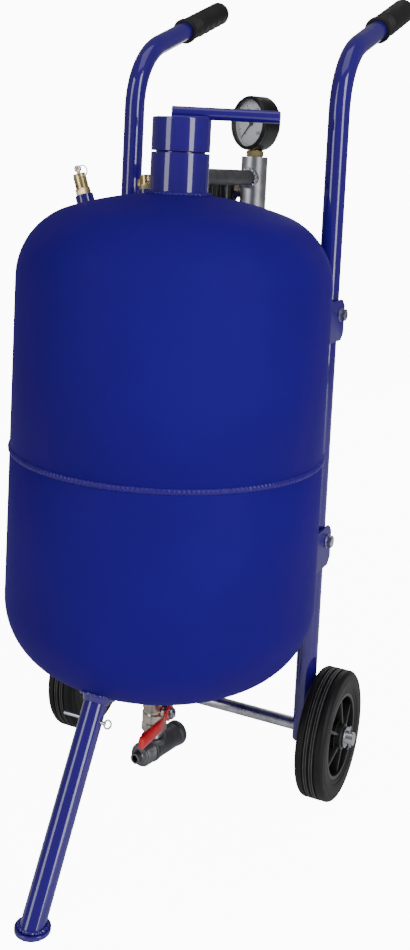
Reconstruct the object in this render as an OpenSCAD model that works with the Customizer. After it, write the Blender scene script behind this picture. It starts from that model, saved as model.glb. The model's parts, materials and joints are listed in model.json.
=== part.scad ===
// Portable pressure-pot abrasive blaster on a two-wheeled handle frame.
// Millimetres. +Z up, the origin on the floor in the middle of the footprint.
// The leg and the outlet nozzle point to -Y, the handles and the axle are at +Y.
// The modules draw each piece with the tank's axis on x = y = 0, and placed() moves it.

/* [Tank] */
// Outside diameter of the tank
tank_d = 350; // [300:1:420]
// Plate thickness of the shells
tank_wall = 3; // [2:0.5:5]
// Straight length of the upper shell, above the girth seam
upper_len = 189; // [150:1:240]
// Straight length of the lower shell, below the girth seam
lower_len = 166; // [130:1:200]
// Knuckle radius of the dished heads; the crown radius follows from it
knuckle_r = 81.4; // [70:0.2:96]
// Height of the tank's lowest point above the floor
floor_gap = 164; // [150:1:200]
// Width of the girth weld bead
bead_w = 5; // [3:0.5:8]
// Height of the girth weld bead above the plate
bead_h = 1.5; // [1:0.1:2]

/* [Filler] */
// Outside diameter of the filler neck and its cap
neck_d = 65; // [60:1:80]
// Height of the neck above the top of the tank
neck_h = 44; // [40:1:60]
// Bore that the abrasive is poured through
fill_bore = 49; // [30:1:50]
// Outside diameter of the threaded spigot above the neck
spigot_d = 57; // [56:0.5:58]
// Height of the threaded spigot above the neck
spigot_h = 29; // [20:1:34]
// Height of the cap
cap_h = 37; // [34:1:50]
// Thickness of the cap's sealing ring
gasket_t = 3; // [2:0.5:4]
// Diameter of the bar welded on the cap
bar_d = 14; // [10:1:18]
// Length of the bar from the cap's axis to its long end
bar_reach = 108; // [80:1:120]
// Length of the bar from the cap's axis to its short end
bar_tail = 12; // [10:1:30]
// Direction of the bar when the cap is tight, in degrees from +X
bar_angle = 28; // [0:1:90]

/* [Handle frame] */
// Outside diameter of the handle tubes
tube_d = 25; // [20:0.5:30]
// Wall of the handle tubes and of the leg
tube_wall = 2; // [1.5:0.1:3]
// Distance between the two handle tubes' axes
handle_gauge = 269; // [230:1:290]
// Smallest gap between a handle tube and the tank
tube_gap = 2.5; // [2:0.1:5]
// Height of the handles' bends above the top of the tank
handle_rise = 99; // [80:1:140]
// Centreline radius of the handles' bends
bend_r = 90; // [70:1:110]
// Angle that the handles turn back through
bend_angle = 70; // [50:1:85]
// Straight length of tube after each bend
handle_reach = 188; // [170:1:220]
// Length of the rubber grips
grip_len = 120; // [90:1:140]
// Outside diameter of the rubber grips
grip_d = 31; // [30:1:38]
// Height of each tube bracket
bracket_h = 48; // [40:1:60]
// Sheet thickness of the tube brackets
bracket_t = 3; // [2:0.5:4]
// Height of the upper brackets above the girth seam
bracket_up = 145; // [100:1:160]
// Depth of the lower brackets below the girth seam
bracket_down = 126; // [90:1:135]
// Diameter of the bracket bolts
bolt_d = 8; // [6:1:10]

/* [Wheels and leg] */
// Diameter of the wheels
wheel_d = 150; // [130:1:180]
// Width of the tyres
wheel_w = 35; // [30:1:45]
// Diameter of the rims that the tyres sit on
rim_d = 100; // [80:1:108]
// Diameter of the axle
axle_d = 15; // [12:0.5:20]
// Outside diameter of the leg
leg_d = 25; // [20:0.5:30]
// Angle of the leg from the vertical
leg_angle = 30; // [20:1:40]
// Diameter of the foot plate
foot_d = 36; // [32:1:50]
// Thickness of the foot plate
foot_t = 5; // [3:1:8]
// Diameter of the leg's locking pin
pin_d = 4; // [3:0.5:5]

/* [Air manifold] */
// Outside diameter of the manifold tube
manifold_d = 33; // [30:0.5:38]
// Gap between the tank and the manifold tube
manifold_gap = 18.5; // [12:0.5:30]
// Length of the manifold tube
manifold_len = 190; // [150:1:240]
// Outside diameter of the pipe from the manifold to the neck
pipe_d = 19; // [16:0.5:21]
// Outside diameter of the gauge
gauge_d = 68; // [60:1:80]
// Depth of the gauge's case
gauge_depth = 28; // [24:1:34]
// Direction the gauge faces, in degrees from -Y
gauge_turn = -27; // [-45:1:45]
// Diameter of the moisture separator's head
separator_d = 40; // [34:1:46]
// Length of the moisture separator's bowl
bowl_len = 66; // [50:1:80]

/* [Top fittings] */
// How far the safety valve stands inside the crown's edge
safety_inset = 2; // [0:1:15]
// How far the vent cock stands inside the crown's edge
vent_inset = 26; // [10:1:35]
// Direction of the vent cock, in degrees from +X
vent_angle = 140; // [125:1:155]
// Outside diameter of the welded bungs
bung_d = 21; // [20:0.5:26]

/* [Outlet] */
// Diameter of the ball in the outlet valve
ball_d = 20; // [18:0.5:22]
// Bore of the outlet valve and its nipples
port_d = 12.5; // [10:0.5:13]
// Distance across the flats of the outlet valve's ends
valve_af = 25; // [25:0.5:30]
// Length of the lever from the stem's axis
lever_len = 79; // [60:1:85]
// Outside diameter of the mixing tee
tee_d = 29; // [28:0.5:36]
// Length of the mixing tee
tee_len = 66; // [60:1:80]
// Turn of the mixing tee about the valve's axis, which takes the hose past the leg
tee_turn = -10; // [-20:1:20]
// Bore of the abrasive hose nipple
nozzle_bore = 7.5; // [5:0.5:8]

/* [Hidden] */
$fn = 64;

// Clearances
fit = 0.05;        // radial clearance of a shaft that turns in its bore
slack = 0.3;       // gap between curved faces that pass or face each other
thread_gap = 0.1;  // radial clearance of a screwed joint, drawn without its thread
over = 1;          // how far a cut runs past the face it opens
seam_turn = 60;    // turns a revolved body's joining line clear of the cuts in it

// Tank
tank_r = tank_d / 2;
// The knuckle's and the crown's centres stand on a 12-35-37 triangle, so their arcs meet on round numbers
head_unit = round((tank_r - knuckle_r) / 12 * 100) / 100;
knuckle_c = 12 * head_unit;
knuckle = tank_r - knuckle_c;
crown_r = knuckle + 37 * head_unit;
head_h = crown_r - 35 * head_unit;
crown_edge_r = crown_r * 12 / 37;
safety_r = crown_edge_r - safety_inset;
vent_r = crown_edge_r - vent_inset;
low_tangent_z = floor_gap + head_h;
seam_z = low_tangent_z + lower_len;
top_tangent_z = seam_z + upper_len;
tank_top_z = top_tangent_z + head_h;
root_gap = 1.5;
bead_r = (pow(bead_w / 2, 2) + pow(bead_h, 2)) / (2 * bead_h);

// Filler
neck_z = tank_top_z + neck_h;
neck_sink = 14;
neck_fillet = 4.5;
cap_gap = 1.5;
spigot_z = neck_z + spigot_h;
cap_top_z = neck_z + cap_gap + cap_h;
bar_flat = 1.5;

// Handle frame
handle_x = handle_gauge / 2;
handle_y = sqrt(pow(tank_r + tube_gap + tube_d / 2, 2) - pow(handle_x, 2));
bend_z = tank_top_z + handle_rise;
tube_foot_z = wheel_d / 2 - 15;
grip_end = 5;
rib_count = 9;
bracket_half = tube_d / 2 + slack + bracket_t;
bracket_chamfer = 8;
bolt_rise = 7;
bracket_zs = [seam_z + bracket_up, seam_z - bracket_down];
bolt_head_af = 13;
bolt_head_h = 5.5;
bolt_washer_t = 1.5;

// Wheels and leg
wheel_z = wheel_d / 2;
washer_t = 2;
end_play = 0.5;
hub_in = handle_x + tube_d / 2 + washer_t + end_play;
hub_d = 30;
hub_len = wheel_w + 2.5;
tyre_in = hub_in + 0.4;
groove_w = 2;
groove_depth = 1.5;
shoulder_r = 5;
spoke_count = 6;
spoke_t = 5;
cotter_d = 3;
cotter_x = hub_in + hub_len + end_play + washer_t + cotter_d / 2 + 0.3;
axle_end = cotter_x + 7;
leg_top = knuckle + 6.5;
leg_pin_s = knuckle + 23;
socket_s = leg_pin_s + 15;
leg_foot_s = (low_tangent_z - foot_t) / cos(leg_angle);
foot_y = -knuckle_c - leg_foot_s * sin(leg_angle);
pin_tail = 32;
pin_eye_x = 20;
pin_eye_r = 4;
pin_wire = 2.4;

// Air manifold
manifold_wall = 3;
manifold_y = tank_r + manifold_gap + manifold_d / 2;
manifold_top_z = tank_top_z + 45;
manifold_low_z = manifold_top_z - manifold_len;
manifold_plug_t = 10;
pipe_z = tank_top_z + 18.5;
pipe_wall = 2.5;
pipe_weld = 2.5;
bracket_arm_z = manifold_low_z + 22;
bracket_arm_w = 22;
bracket_arm_h = 34;
stem_thread_d = 13;
gauge_hex_af = 19;
gauge_hex_h = 8;
gauge_z = manifold_top_z + gauge_hex_h + gauge_d / 2;
gauge_wall = 2;
gauge_front = gauge_depth / 2 + 1.5;
gauge_back = gauge_front - gauge_depth;
bezel_h = 6;
bezel_lip = 3;
dial_t = 1;
dial_z = gauge_front - 9;
lens_t = 2;
pointer_zero = 225;
arbor_d = 3;
port_z = tank_top_z + 1;
port_hex_af = 17;
port_hex_len = 6.5;
port_thread_d = 13;
hose_tail = 24;
separator_x = -(manifold_d / 2 + port_hex_len + separator_d / 2);
separator_top_z = port_z + 9;
separator_low_z = port_z - 13;
bowl_d = separator_d - 4;
bowl_wall = 2.5;
drain_d = 12;

// Top fittings
bung_rise = 11;
bung_sink = 8;
fitting_d = 12.6;
safety_hex_af = 17;
safety_hex_h = 7;
safety_barrel_d = 15;
chamber_d = 11;
safety_chamber_h = 14;
safety_cap_h = 4;
safety_lift = 3;
safety_top = safety_hex_h + safety_chamber_h + safety_cap_h;
safety_stem_d = 4;
ring_wire = 1.6;
ring_r = 6.5;
ring_droop = 40;
eye_rise = 6;
eye_t = 3;
vent_hex_af = 14;
vent_hex_h = 6;
vent_barrel_d = 13;
vent_barrel_h = 12;
vent_key_d = 6;
vent_knob_d = 12;

// Outlet
outlet_bung_d = 34;
outlet_drop = 8;
thread_d = 21;
thread_len = 9.5;
nipple_show = 11.5;
tee_show = 7;
valve_half = 25;
valve_z = floor_gap - outlet_drop - nipple_show - valve_half;
valve_barrel_d = 28;
valve_joint = 15;
valve_hex_h = 11;
chamber_half = ball_d / 2 + 2.5;
stem_d = 7;
stem_boss_d = 14;
stem_boss_x = 17;
lever_t = 2;
lever_w = 11;
lever_x = stem_boss_x + 0.6;
lever_crank = 5;
sleeve_t = 5.4;
sleeve_w = 13;
sleeve_from = 26;
stem_flat = 5;
nut_af = 11;
nut_h = 5;
tee_z = valve_z - valve_half - tee_show - tee_d / 2;
tee_front = 18;
tee_bore = 15;
nozzle_collar_d = 25;
nozzle_collar_len = 6;
nozzle_d = 12;
nozzle_len = 10;
air_port_d = 18;

steel_blue = "#23188c";
rubber = "#262525";
zinc = "#b9bcc0";
brass = "#c2a35a";
nickel = "#c8c2b6";
iron = "#4b4d50";
lever_red = "#c8141c";

// Middle of the footprint, measured from the tank's axis: half way from the foot to the grips' ends
front_y = foot_y - foot_d / 2;
rear_y = handle_y + bend_r * (1 - cos(bend_angle))
    + (handle_reach + grip_end - grip_d / 2) * sin(bend_angle) + grip_d / 2;
mid_y = (front_y + rear_y) / 2;

// ---- Shared shapes ----

// Moves a piece from the tank's axis to the origin in the middle of the footprint
module placed() {
    translate([0, -mid_y, 0]) children();
}

// Solid hexagonal prism, with its size across the flats
module hex(af, h) {
    cylinder(d = af / cos(30), h = h, $fn = 6);
}

// Tube standing on the origin
module pipe(d, wall, h) {
    difference() {
        cylinder(d = d, h = h);
        translate([0, 0, -over]) cylinder(d = d - 2 * wall, h = h + 2 * over);
    }
}

// Ring of round wire lying in the xy plane
module wire_ring(r, wire) {
    rotate_extrude() translate([r, 0]) circle(d = wire, $fn = 24);
}

// Half outline of a dished head of straight length len, shrunk inwards by inset
module shell_outline(len, inset) {
    edge_x = (crown_r - inset) * 12 / 37;
    translate([0, -len]) square([tank_r - inset, len]);
    intersection() {
        translate([knuckle_c, 0]) circle(knuckle - inset);
        translate([edge_x, 0]) square([tank_r, head_h]);
    }
    intersection() {
        translate([0, head_h - crown_r]) circle(crown_r - inset);
        square([edge_x, head_h]);
    }
}

// Solid bounded by one shell, standing on its tangent plane, its joining line clear of the fittings
module shell_solid(len, inset) {
    rotate([0, 0, seam_turn]) rotate_extrude($fn = 180) shell_outline(len, inset);
}

// Shell plate, standing on its tangent plane
module shell_plate(len) {
    difference() {
        shell_solid(len, 0);
        translate([0, 0, -over]) intersection() {
            translate([0, 0, over]) shell_solid(len + over, tank_wall);
            translate([-tank_r, -tank_r, -len - over]) cube([tank_d, tank_d, len + head_h + 3 * over]);
        }
    }
}

// Ring of the lower knuckle, which fittings on it are trimmed to
module lower_knuckle() {
    translate([0, 0, low_tangent_z]) rotate_extrude($fn = 180)
        translate([knuckle_c, 0]) circle(knuckle);
}

// Places a fitting on the upper head, with +Z along the plate's normal
module at_crown(direction, r) {
    translate([0, 0, tank_top_z - crown_r])
        rotate([0, 0, direction]) rotate([0, asin(r / crown_r), 0])
            translate([0, 0, crown_r]) children();
}

module at_safety_valve() {
    at_crown(180, safety_r) children();
}

module at_vent() {
    at_crown(vent_angle, vent_r) children();
}

// ---- Tank ----

module upper_shell() {
    color(steel_blue) difference() {
        translate([0, 0, top_tangent_z]) shell_plate(upper_len - root_gap / 2);
        translate([0, 0, tank_top_z - neck_sink - over])
            cylinder(d = neck_d + slack, h = neck_sink + 3 * over);
        at_safety_valve() translate([0, 0, -bung_sink]) cylinder(d = bung_d + slack, h = 2 * bung_sink);
        at_vent() translate([0, 0, -bung_sink]) cylinder(d = bung_d + slack, h = 2 * bung_sink);
    }
}

module lower_shell() {
    color(steel_blue) difference() {
        translate([0, 0, low_tangent_z]) mirror([0, 0, 1]) shell_plate(lower_len - root_gap / 2);
        translate([0, 0, floor_gap - over]) cylinder(d = outlet_bung_d + slack, h = 3 * bung_sink);
    }
}

// Girth bead round the seam, and the fillet round the foot of the neck
module weld_beads() {
    color(steel_blue) {
        translate([0, 0, seam_z]) rotate_extrude($fn = 180) {
            translate([tank_r - tank_wall, -root_gap / 2]) square([tank_wall, root_gap]);
            intersection() {
                translate([tank_r + bead_h - bead_r, 0]) circle(bead_r);
                translate([tank_r, -bead_w]) square([bead_w, 2 * bead_w]);
            }
        }
        difference() {
            translate([0, 0, tank_top_z - neck_fillet])
                cylinder(r1 = neck_d / 2 + 1.8 * neck_fillet, r2 = neck_d / 2, h = 1.8 * neck_fillet);
            translate([0, 0, tank_top_z - neck_sink]) cylinder(d = neck_d, h = 2 * neck_sink);
            translate([0, 0, tank_top_z - crown_r]) sphere(crown_r, $fn = 180);
        }
    }
}

module fill_neck() {
    color(steel_blue) difference() {
        union() {
            translate([0, 0, tank_top_z - neck_sink]) cylinder(d = neck_d, h = neck_h + neck_sink);
            translate([0, 0, neck_z]) cylinder(d = spigot_d, h = spigot_h);
        }
        translate([0, 0, tank_top_z - neck_sink - over])
            cylinder(d = fill_bore, h = neck_sink + neck_h + spigot_h + 2 * over);
        translate([0, 0, pipe_z]) rotate([-90, 0, 0]) cylinder(d = pipe_d + slack, h = neck_d);
    }
}

module bung() {
    translate([0, 0, -bung_sink]) pipe(bung_d, (bung_d - fitting_d) / 2 - thread_gap, bung_sink + bung_rise);
}

module bungs() {
    color(steel_blue) {
        at_safety_valve() bung();
        at_vent() bung();
    }
}

module outlet_bung() {
    color(steel_blue) translate([0, 0, floor_gap - outlet_drop])
        pipe(outlet_bung_d, (outlet_bung_d - thread_d) / 2, 2 * outlet_drop);
}

// ---- Handle frame ----

// Tube axis of the given diameter: down to the axle, round the bend and out to the grip
module handle_sweep(d) {
    translate([handle_x, handle_y, 0]) {
        translate([0, 0, tube_foot_z]) cylinder(d = d, h = bend_z - tube_foot_z);
        translate([0, bend_r, bend_z]) rotate([90, 0, -90])
            rotate_extrude(angle = bend_angle) translate([bend_r, 0]) circle(d = d);
        at_handle_end() cylinder(d = d, h = handle_reach);
    }
}

// From the foot of the right tube's axis to the end of its bend, with +Z along the tube
module at_handle_end() {
    translate([0, bend_r, bend_z]) rotate([-bend_angle, 0, 0]) translate([0, -bend_r, 0]) children();
}

module at_brackets() {
    for (z = bracket_zs) translate([handle_x, handle_y, z]) children();
}

module right_handle_tube() {
    color(steel_blue) difference() {
        handle_sweep(tube_d);
        handle_bore();
        translate([0, handle_y, wheel_z]) rotate([0, 90, 0]) cylinder(d = axle_d + 2 * thread_gap, h = 2 * handle_x);
        at_brackets() translate([-tube_d, 0, bolt_rise]) rotate([0, 90, 0]) cylinder(d = bolt_d + slack, h = 2 * tube_d);
    }
}

// Inside of the tube, open at both ends
module handle_bore() {
    bore = tube_d - 2 * tube_wall;
    handle_sweep(bore);
    translate([handle_x, handle_y, 0]) {
        translate([0, 0, tube_foot_z - over]) cylinder(d = bore, h = 2 * over);
        at_handle_end() translate([0, 0, handle_reach - over]) cylinder(d = bore, h = 2 * over);
    }
}

module handle_tube_right() {
    right_handle_tube();
}

module handle_tube_left() {
    mirror([1, 0, 0]) right_handle_tube();
}

// Rubber sleeve with a closed, rounded end and finger ribs
module grip() {
    color(rubber) translate([handle_x, handle_y, 0]) at_handle_end()
        translate([0, 0, handle_reach + grip_end - grip_len]) difference() {
            rotate_extrude() difference() {
                union() {
                    square([grip_d / 2, grip_len - grip_d / 4]);
                    intersection() {
                        translate([0, grip_len - grip_d / 2]) circle(grip_d / 2);
                        square([grip_d / 2, grip_len]);
                    }
                }
                for (i = [1 : rib_count])
                    translate([grip_d / 2 + 1.2, i * grip_len / (rib_count + 2)]) circle(2.2, $fn = 24);
            }
            translate([0, 0, -over]) cylinder(d = tube_d, h = grip_len - grip_end + over);
        }
}

module grips() {
    for (side = [0, 1]) mirror([side, 0, 0]) grip();
}

// Folded channel round the tube, its front edges trimmed to the tank and its rear corners cut off
module tube_bracket() {
    inner = tube_d / 2 + slack;
    rear = handle_y + bracket_half;
    difference() {
        translate([handle_x - bracket_half, 0, -bracket_h / 2]) cube([2 * bracket_half, rear, bracket_h]);
        translate([handle_x - inner, -over, -bracket_h]) cube([2 * inner, handle_y + inner + over, 2 * bracket_h]);
        translate([0, 0, -bracket_h]) cylinder(r = tank_r, h = 2 * bracket_h, $fn = 180);
        for (end = [-1, 1]) translate([handle_x, rear, end * bracket_h / 2]) rotate([45, 0, 0])
            cube([3 * bracket_half, sqrt(2) * bracket_chamfer, sqrt(2) * bracket_chamfer], center = true);
        translate([handle_x - tube_d, handle_y, bolt_rise]) rotate([0, 90, 0])
            cylinder(d = bolt_d + 2 * thread_gap, h = 2 * tube_d);
    }
}

module tube_brackets() {
    color(steel_blue) for (side = [0, 1], z = bracket_zs)
        mirror([side, 0, 0]) translate([0, 0, z]) tube_bracket();
}

// Hexagon bolt from the outer flange into the threaded inner flange
module bracket_bolts() {
    shank = 2 * bracket_half + bolt_washer_t;
    color(zinc) for (side = [0, 1]) mirror([side, 0, 0]) at_brackets()
        translate([-bracket_half, 0, bolt_rise]) rotate([0, 90, 0]) {
            cylinder(d = bolt_d, h = shank);
            translate([0, 0, shank - bolt_washer_t]) cylinder(d = 2 * bolt_d, h = bolt_washer_t);
            translate([0, 0, shank]) hex(bolt_head_af, bolt_head_h);
        }
}

// ---- Axle and wheels ----

module on_axle() {
    translate([0, handle_y, wheel_z]) rotate([0, 90, 0]) children();
}

module axle() {
    color(zinc) difference() {
        on_axle() translate([0, 0, -axle_end]) cylinder(d = axle_d, h = 2 * axle_end);
        for (side = [-1, 1]) translate([side * cotter_x, handle_y, wheel_z - axle_d])
            cylinder(d = cotter_d + 2 * thread_gap, h = 2 * axle_d);
    }
}

module axle_washers() {
    bore = axle_d + 2 * thread_gap;
    color(zinc) for (side = [0, 1]) mirror([side, 0, 0]) on_axle() {
        translate([0, 0, handle_x + tube_d / 2]) pipe(28, (28 - bore) / 2, washer_t);
        translate([0, 0, hub_in + hub_len + end_play]) pipe(24, (24 - bore) / 2, washer_t);
    }
}

module cotter_pins() {
    color(zinc) for (side = [-1, 1]) translate([side * cotter_x, handle_y, wheel_z]) {
        translate([0, 0, -axle_d / 2 - 6]) cylinder(d = cotter_d, h = axle_d + 8);
        translate([0, 0, axle_d / 2 + 4]) rotate([0, 90, 0]) wire_ring(2.6, 1.8);
    }
}

// Solid rubber tyre with rounded shoulders and grooves round its tread
module right_tyre() {
    r = wheel_d / 2;
    color(rubber) on_axle() translate([0, 0, tyre_in]) rotate_extrude($fn = 180) difference() {
        union() {
            translate([rim_d / 2, 0]) square([r - shoulder_r - rim_d / 2, wheel_w]);
            translate([rim_d / 2, shoulder_r]) square([r - rim_d / 2, wheel_w - 2 * shoulder_r]);
            for (y = [shoulder_r, wheel_w - shoulder_r]) translate([r - shoulder_r, y]) circle(shoulder_r);
        }
        for (i = [-1, 0, 1]) translate([r - groove_depth, wheel_w / 2 + i * wheel_w / 5 - groove_w / 2])
            square([2 * groove_depth, groove_w]);
    }
}

// Moulded rim: hub, web and spokes inside the band that the tyre sits on
module right_rim() {
    band = 5;
    web = 6;
    color(rubber) on_axle() difference() {
        union() {
            translate([0, 0, hub_in]) cylinder(d = hub_d, h = hub_len);
            translate([0, 0, tyre_in + 2]) pipe(rim_d, band, wheel_w - 4);
            translate([0, 0, tyre_in + wheel_w / 2 - web / 2]) cylinder(d = rim_d - band, h = web);
            for (i = [0 : spoke_count - 1]) rotate([0, 0, i * 360 / spoke_count])
                translate([0, -spoke_t / 2, tyre_in + 6]) cube([rim_d / 2 - band / 2, spoke_t, wheel_w - 12]);
        }
        translate([0, 0, hub_in - over]) cylinder(d = axle_d + 2 * fit, h = hub_len + 2 * over);
    }
}

module tyre_right() {
    right_tyre();
}

module tyre_left() {
    mirror([1, 0, 0]) right_tyre();
}

module rim_right() {
    right_rim();
}

module rim_left() {
    mirror([1, 0, 0]) right_rim();
}

// ---- Leg ----

// From the lower knuckle's centre, with +Z down the leg
module along_leg() {
    translate([0, -knuckle_c, low_tangent_z]) rotate([180 - leg_angle, 0, 0]) children();
}

module leg_pin_hole() {
    along_leg() translate([-leg_d, 0, leg_pin_s]) rotate([0, 90, 0])
        cylinder(d = pin_d + 2 * thread_gap, h = 2 * leg_d);
}

// Flared collar on the lower head, with the spigot that the leg slides over
module leg_socket() {
    spigot = leg_d - 2 * tube_wall - 2 * thread_gap;
    color(steel_blue) difference() {
        union() {
            along_leg() translate([0, 0, knuckle - 3])
                cylinder(d1 = leg_d + 9, d2 = leg_d + 1, h = leg_top - knuckle + 3);
            along_leg() translate([0, 0, leg_top - 1]) cylinder(d = spigot, h = socket_s - leg_top + 1);
        }
        lower_knuckle();
        leg_pin_hole();
    }
}

module front_leg() {
    color(steel_blue) difference() {
        along_leg() translate([0, 0, leg_top]) pipe(leg_d, tube_wall, leg_foot_s - leg_top + leg_d);
        translate([-leg_d, foot_y - 2 * leg_d, foot_t - 3 * leg_d]) cube([2 * leg_d, 4 * leg_d, 3 * leg_d]);
        leg_pin_hole();
    }
}

module foot_plate() {
    color(steel_blue) translate([0, foot_y, 0]) cylinder(d = foot_d, h = foot_t);
}

// Locking pin with a pull eye at one end
module leg_pin() {
    color(zinc) along_leg() translate([0, 0, leg_pin_s]) {
        translate([-pin_tail, 0, 0]) rotate([0, 90, 0]) cylinder(d = pin_d, h = pin_tail + pin_eye_x - pin_eye_r);
        translate([pin_eye_x, 0, 0]) rotate([90, 0, 0]) wire_ring(pin_eye_r, pin_wire);
    }
}

// ---- Filler cap ----

module filler_cap() {
    low = neck_z + cap_gap;
    color(steel_blue) difference() {
        translate([0, 0, low]) cylinder(d = neck_d, h = cap_h);
        translate([0, 0, low - over])
            cylinder(d = spigot_d + 2 * thread_gap, h = spigot_z + gasket_t - low + over);
    }
}

// Round bar with a flat along its underside, welded across the cap's top
module cap_handle() {
    color(steel_blue) rotate([0, 0, bar_angle]) difference() {
        translate([-bar_tail, 0, cap_top_z + bar_d / 2 - bar_flat]) rotate([0, 90, 0])
            cylinder(d = bar_d, h = bar_tail + bar_reach);
        translate([-2 * bar_tail, -bar_d, cap_top_z - bar_d])
            cube([bar_reach + 4 * bar_tail, 2 * bar_d, bar_d]);
    }
}

module cap_gasket() {
    color(rubber) translate([0, 0, spigot_z])
        pipe(spigot_d - 2 * slack, (spigot_d - 2 * slack - fill_bore) / 2, gasket_t);
}

// ---- Air manifold and gauge ----

module manifold_tube() {
    color(zinc) translate([0, manifold_y, manifold_low_z]) difference() {
        cylinder(d = manifold_d, h = manifold_len);
        translate([0, 0, manifold_plug_t])
            cylinder(d = manifold_d - 2 * manifold_wall, h = manifold_len - 2 * manifold_plug_t);
        translate([0, 0, -over])
            cylinder(d = stem_thread_d + 2 * thread_gap, h = manifold_len + 2 * over);
        translate([0, 0, pipe_z - manifold_low_z]) rotate([90, 0, 0])
            cylinder(d = pipe_d - 2 * pipe_wall, h = manifold_d);
        translate([0, 0, port_z - manifold_low_z]) rotate([0, -90, 0])
            cylinder(d = port_thread_d + 2 * thread_gap, h = manifold_d);
    }
}

// Plate between the tank and the foot of the manifold tube
module manifold_bracket() {
    color(steel_blue) difference() {
        translate([-bracket_arm_w / 2, 0, bracket_arm_z - bracket_arm_h / 2])
            cube([bracket_arm_w, manifold_y, bracket_arm_h]);
        translate([0, 0, bracket_arm_z - bracket_arm_h])
            cylinder(r = tank_r, h = 2 * bracket_arm_h, $fn = 180);
        translate([0, manifold_y, bracket_arm_z - bracket_arm_h]) cylinder(d = manifold_d, h = 2 * bracket_arm_h);
    }
}

// Hose tail under the manifold
module manifold_outlet() {
    color(brass) translate([0, manifold_y, manifold_low_z]) difference() {
        union() {
            cylinder(d = stem_thread_d, h = manifold_plug_t);
            translate([0, 0, -port_hex_len]) hex(gauge_hex_af, port_hex_len);
            translate([0, 0, -port_hex_len - hose_tail]) cylinder(d = stem_thread_d, h = hose_tail);
        }
        translate([0, 0, -port_hex_len - hose_tail - over]) cylinder(d = nozzle_bore, h = 2 * hose_tail);
    }
}

// Pipe from the manifold into the neck, with its weld beads
module cross_pipe() {
    start = sqrt(pow(fill_bore / 2, 2) - pow(pipe_d / 2, 2)) + over;
    neck_face = sqrt(pow(neck_d / 2, 2) - pow(pipe_d / 2, 2));
    color(iron) difference() {
        union() {
            translate([0, start, pipe_z]) rotate([-90, 0, 0]) cylinder(d = pipe_d, h = manifold_y - start);
            translate([0, neck_face, pipe_z]) rotate([-90, 0, 0])
                cylinder(d = pipe_d + 2 * pipe_weld, h = neck_d / 2 - neck_face + pipe_weld);
            translate([0, manifold_y, pipe_z]) rotate([90, 0, 0])
                cylinder(d = pipe_d + 2 * pipe_weld, h = manifold_d / 2 + pipe_weld);
        }
        translate([0, 0, pipe_z]) rotate([-90, 0, 0]) cylinder(d = pipe_d - 2 * pipe_wall, h = manifold_y);
        translate([0, manifold_y, pipe_z - pipe_d]) cylinder(d = manifold_d, h = 2 * pipe_d);
        difference() {
            translate([0, 0, pipe_z - pipe_d]) cylinder(d = neck_d, h = 2 * pipe_d);
            translate([0, 0, pipe_z]) rotate([-90, 0, 0]) cylinder(d = pipe_d, h = neck_d);
        }
    }
}

// From the middle of the gauge, with +Z out of its face and +Y up
module at_gauge() {
    translate([0, manifold_y, gauge_z]) rotate([0, 0, gauge_turn]) rotate([90, 0, 0]) children();
}

// Brass socket: the thread in the manifold, the hexagon and the block inside the case
module gauge_socket() {
    block = 12;
    color(brass) difference() {
        union() {
            translate([0, manifold_y, manifold_top_z - manifold_plug_t])
                cylinder(d = stem_thread_d, h = manifold_plug_t);
            translate([0, manifold_y, manifold_top_z]) hex(gauge_hex_af, gauge_hex_h);
            translate([0, manifold_y, manifold_top_z + gauge_hex_h - over])
                cylinder(d = block, h = gauge_wall + 3 * over);
            at_gauge() translate([-block / 2, -gauge_d / 2 + gauge_wall + over, -block / 2]) cube([block, 16, block]);
        }
        translate([0, manifold_y, manifold_top_z - manifold_plug_t - over])
            cylinder(d = 5, h = manifold_plug_t + gauge_hex_h + 10);
    }
}

module gauge_case() {
    color("#1c1c1e") difference() {
        at_gauge() translate([0, 0, gauge_back]) difference() {
            cylinder(d = gauge_d, h = gauge_depth - bezel_h);
            translate([0, 0, gauge_wall]) cylinder(d = gauge_d - 2 * gauge_wall, h = gauge_depth);
        }
        translate([0, manifold_y, manifold_top_z]) cylinder(d = 12 + slack, h = gauge_d / 2);
    }
}

module gauge_bezel() {
    inner = gauge_d / 2 - gauge_wall;
    color("#1c1c1e") at_gauge() translate([0, 0, gauge_front - bezel_h]) rotate_extrude() {
        translate([inner, 0]) square([gauge_wall, bezel_h]);
        translate([inner - bezel_lip, bezel_h - gauge_wall]) square([bezel_lip, gauge_wall]);
    }
}

module gauge_dial() {
    color("white") at_gauge() translate([0, 0, dial_z]) difference() {
        cylinder(r = gauge_d / 2 - gauge_wall, h = dial_t);
        translate([0, 0, -over]) cylinder(d = arbor_d + 4 * fit, h = 2 * over + dial_t);
    }
}

// Pointer on its arbor, at zero
module gauge_pointer() {
    tip = gauge_d / 2 - 10;
    color("#101010") at_gauge() {
        translate([0, 0, dial_z - 6]) cylinder(d = arbor_d, h = 9);
        translate([0, 0, dial_z + dial_t + 1]) cylinder(d = 7, h = 1);
        translate([0, 0, dial_z + dial_t + 1]) rotate([0, 0, pointer_zero]) linear_extrude(0.8)
            polygon([[-9, -1.6], [0, -1.2], [tip, -0.3], [tip, 0.3], [0, 1.2], [-9, 1.6]]);
    }
}

module gauge_lens() {
    color([0.9, 0.95, 1, 0.35]) at_gauge() translate([0, 0, gauge_front - gauge_wall - lens_t])
        cylinder(r = gauge_d / 2 - gauge_wall, h = lens_t);
}

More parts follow.
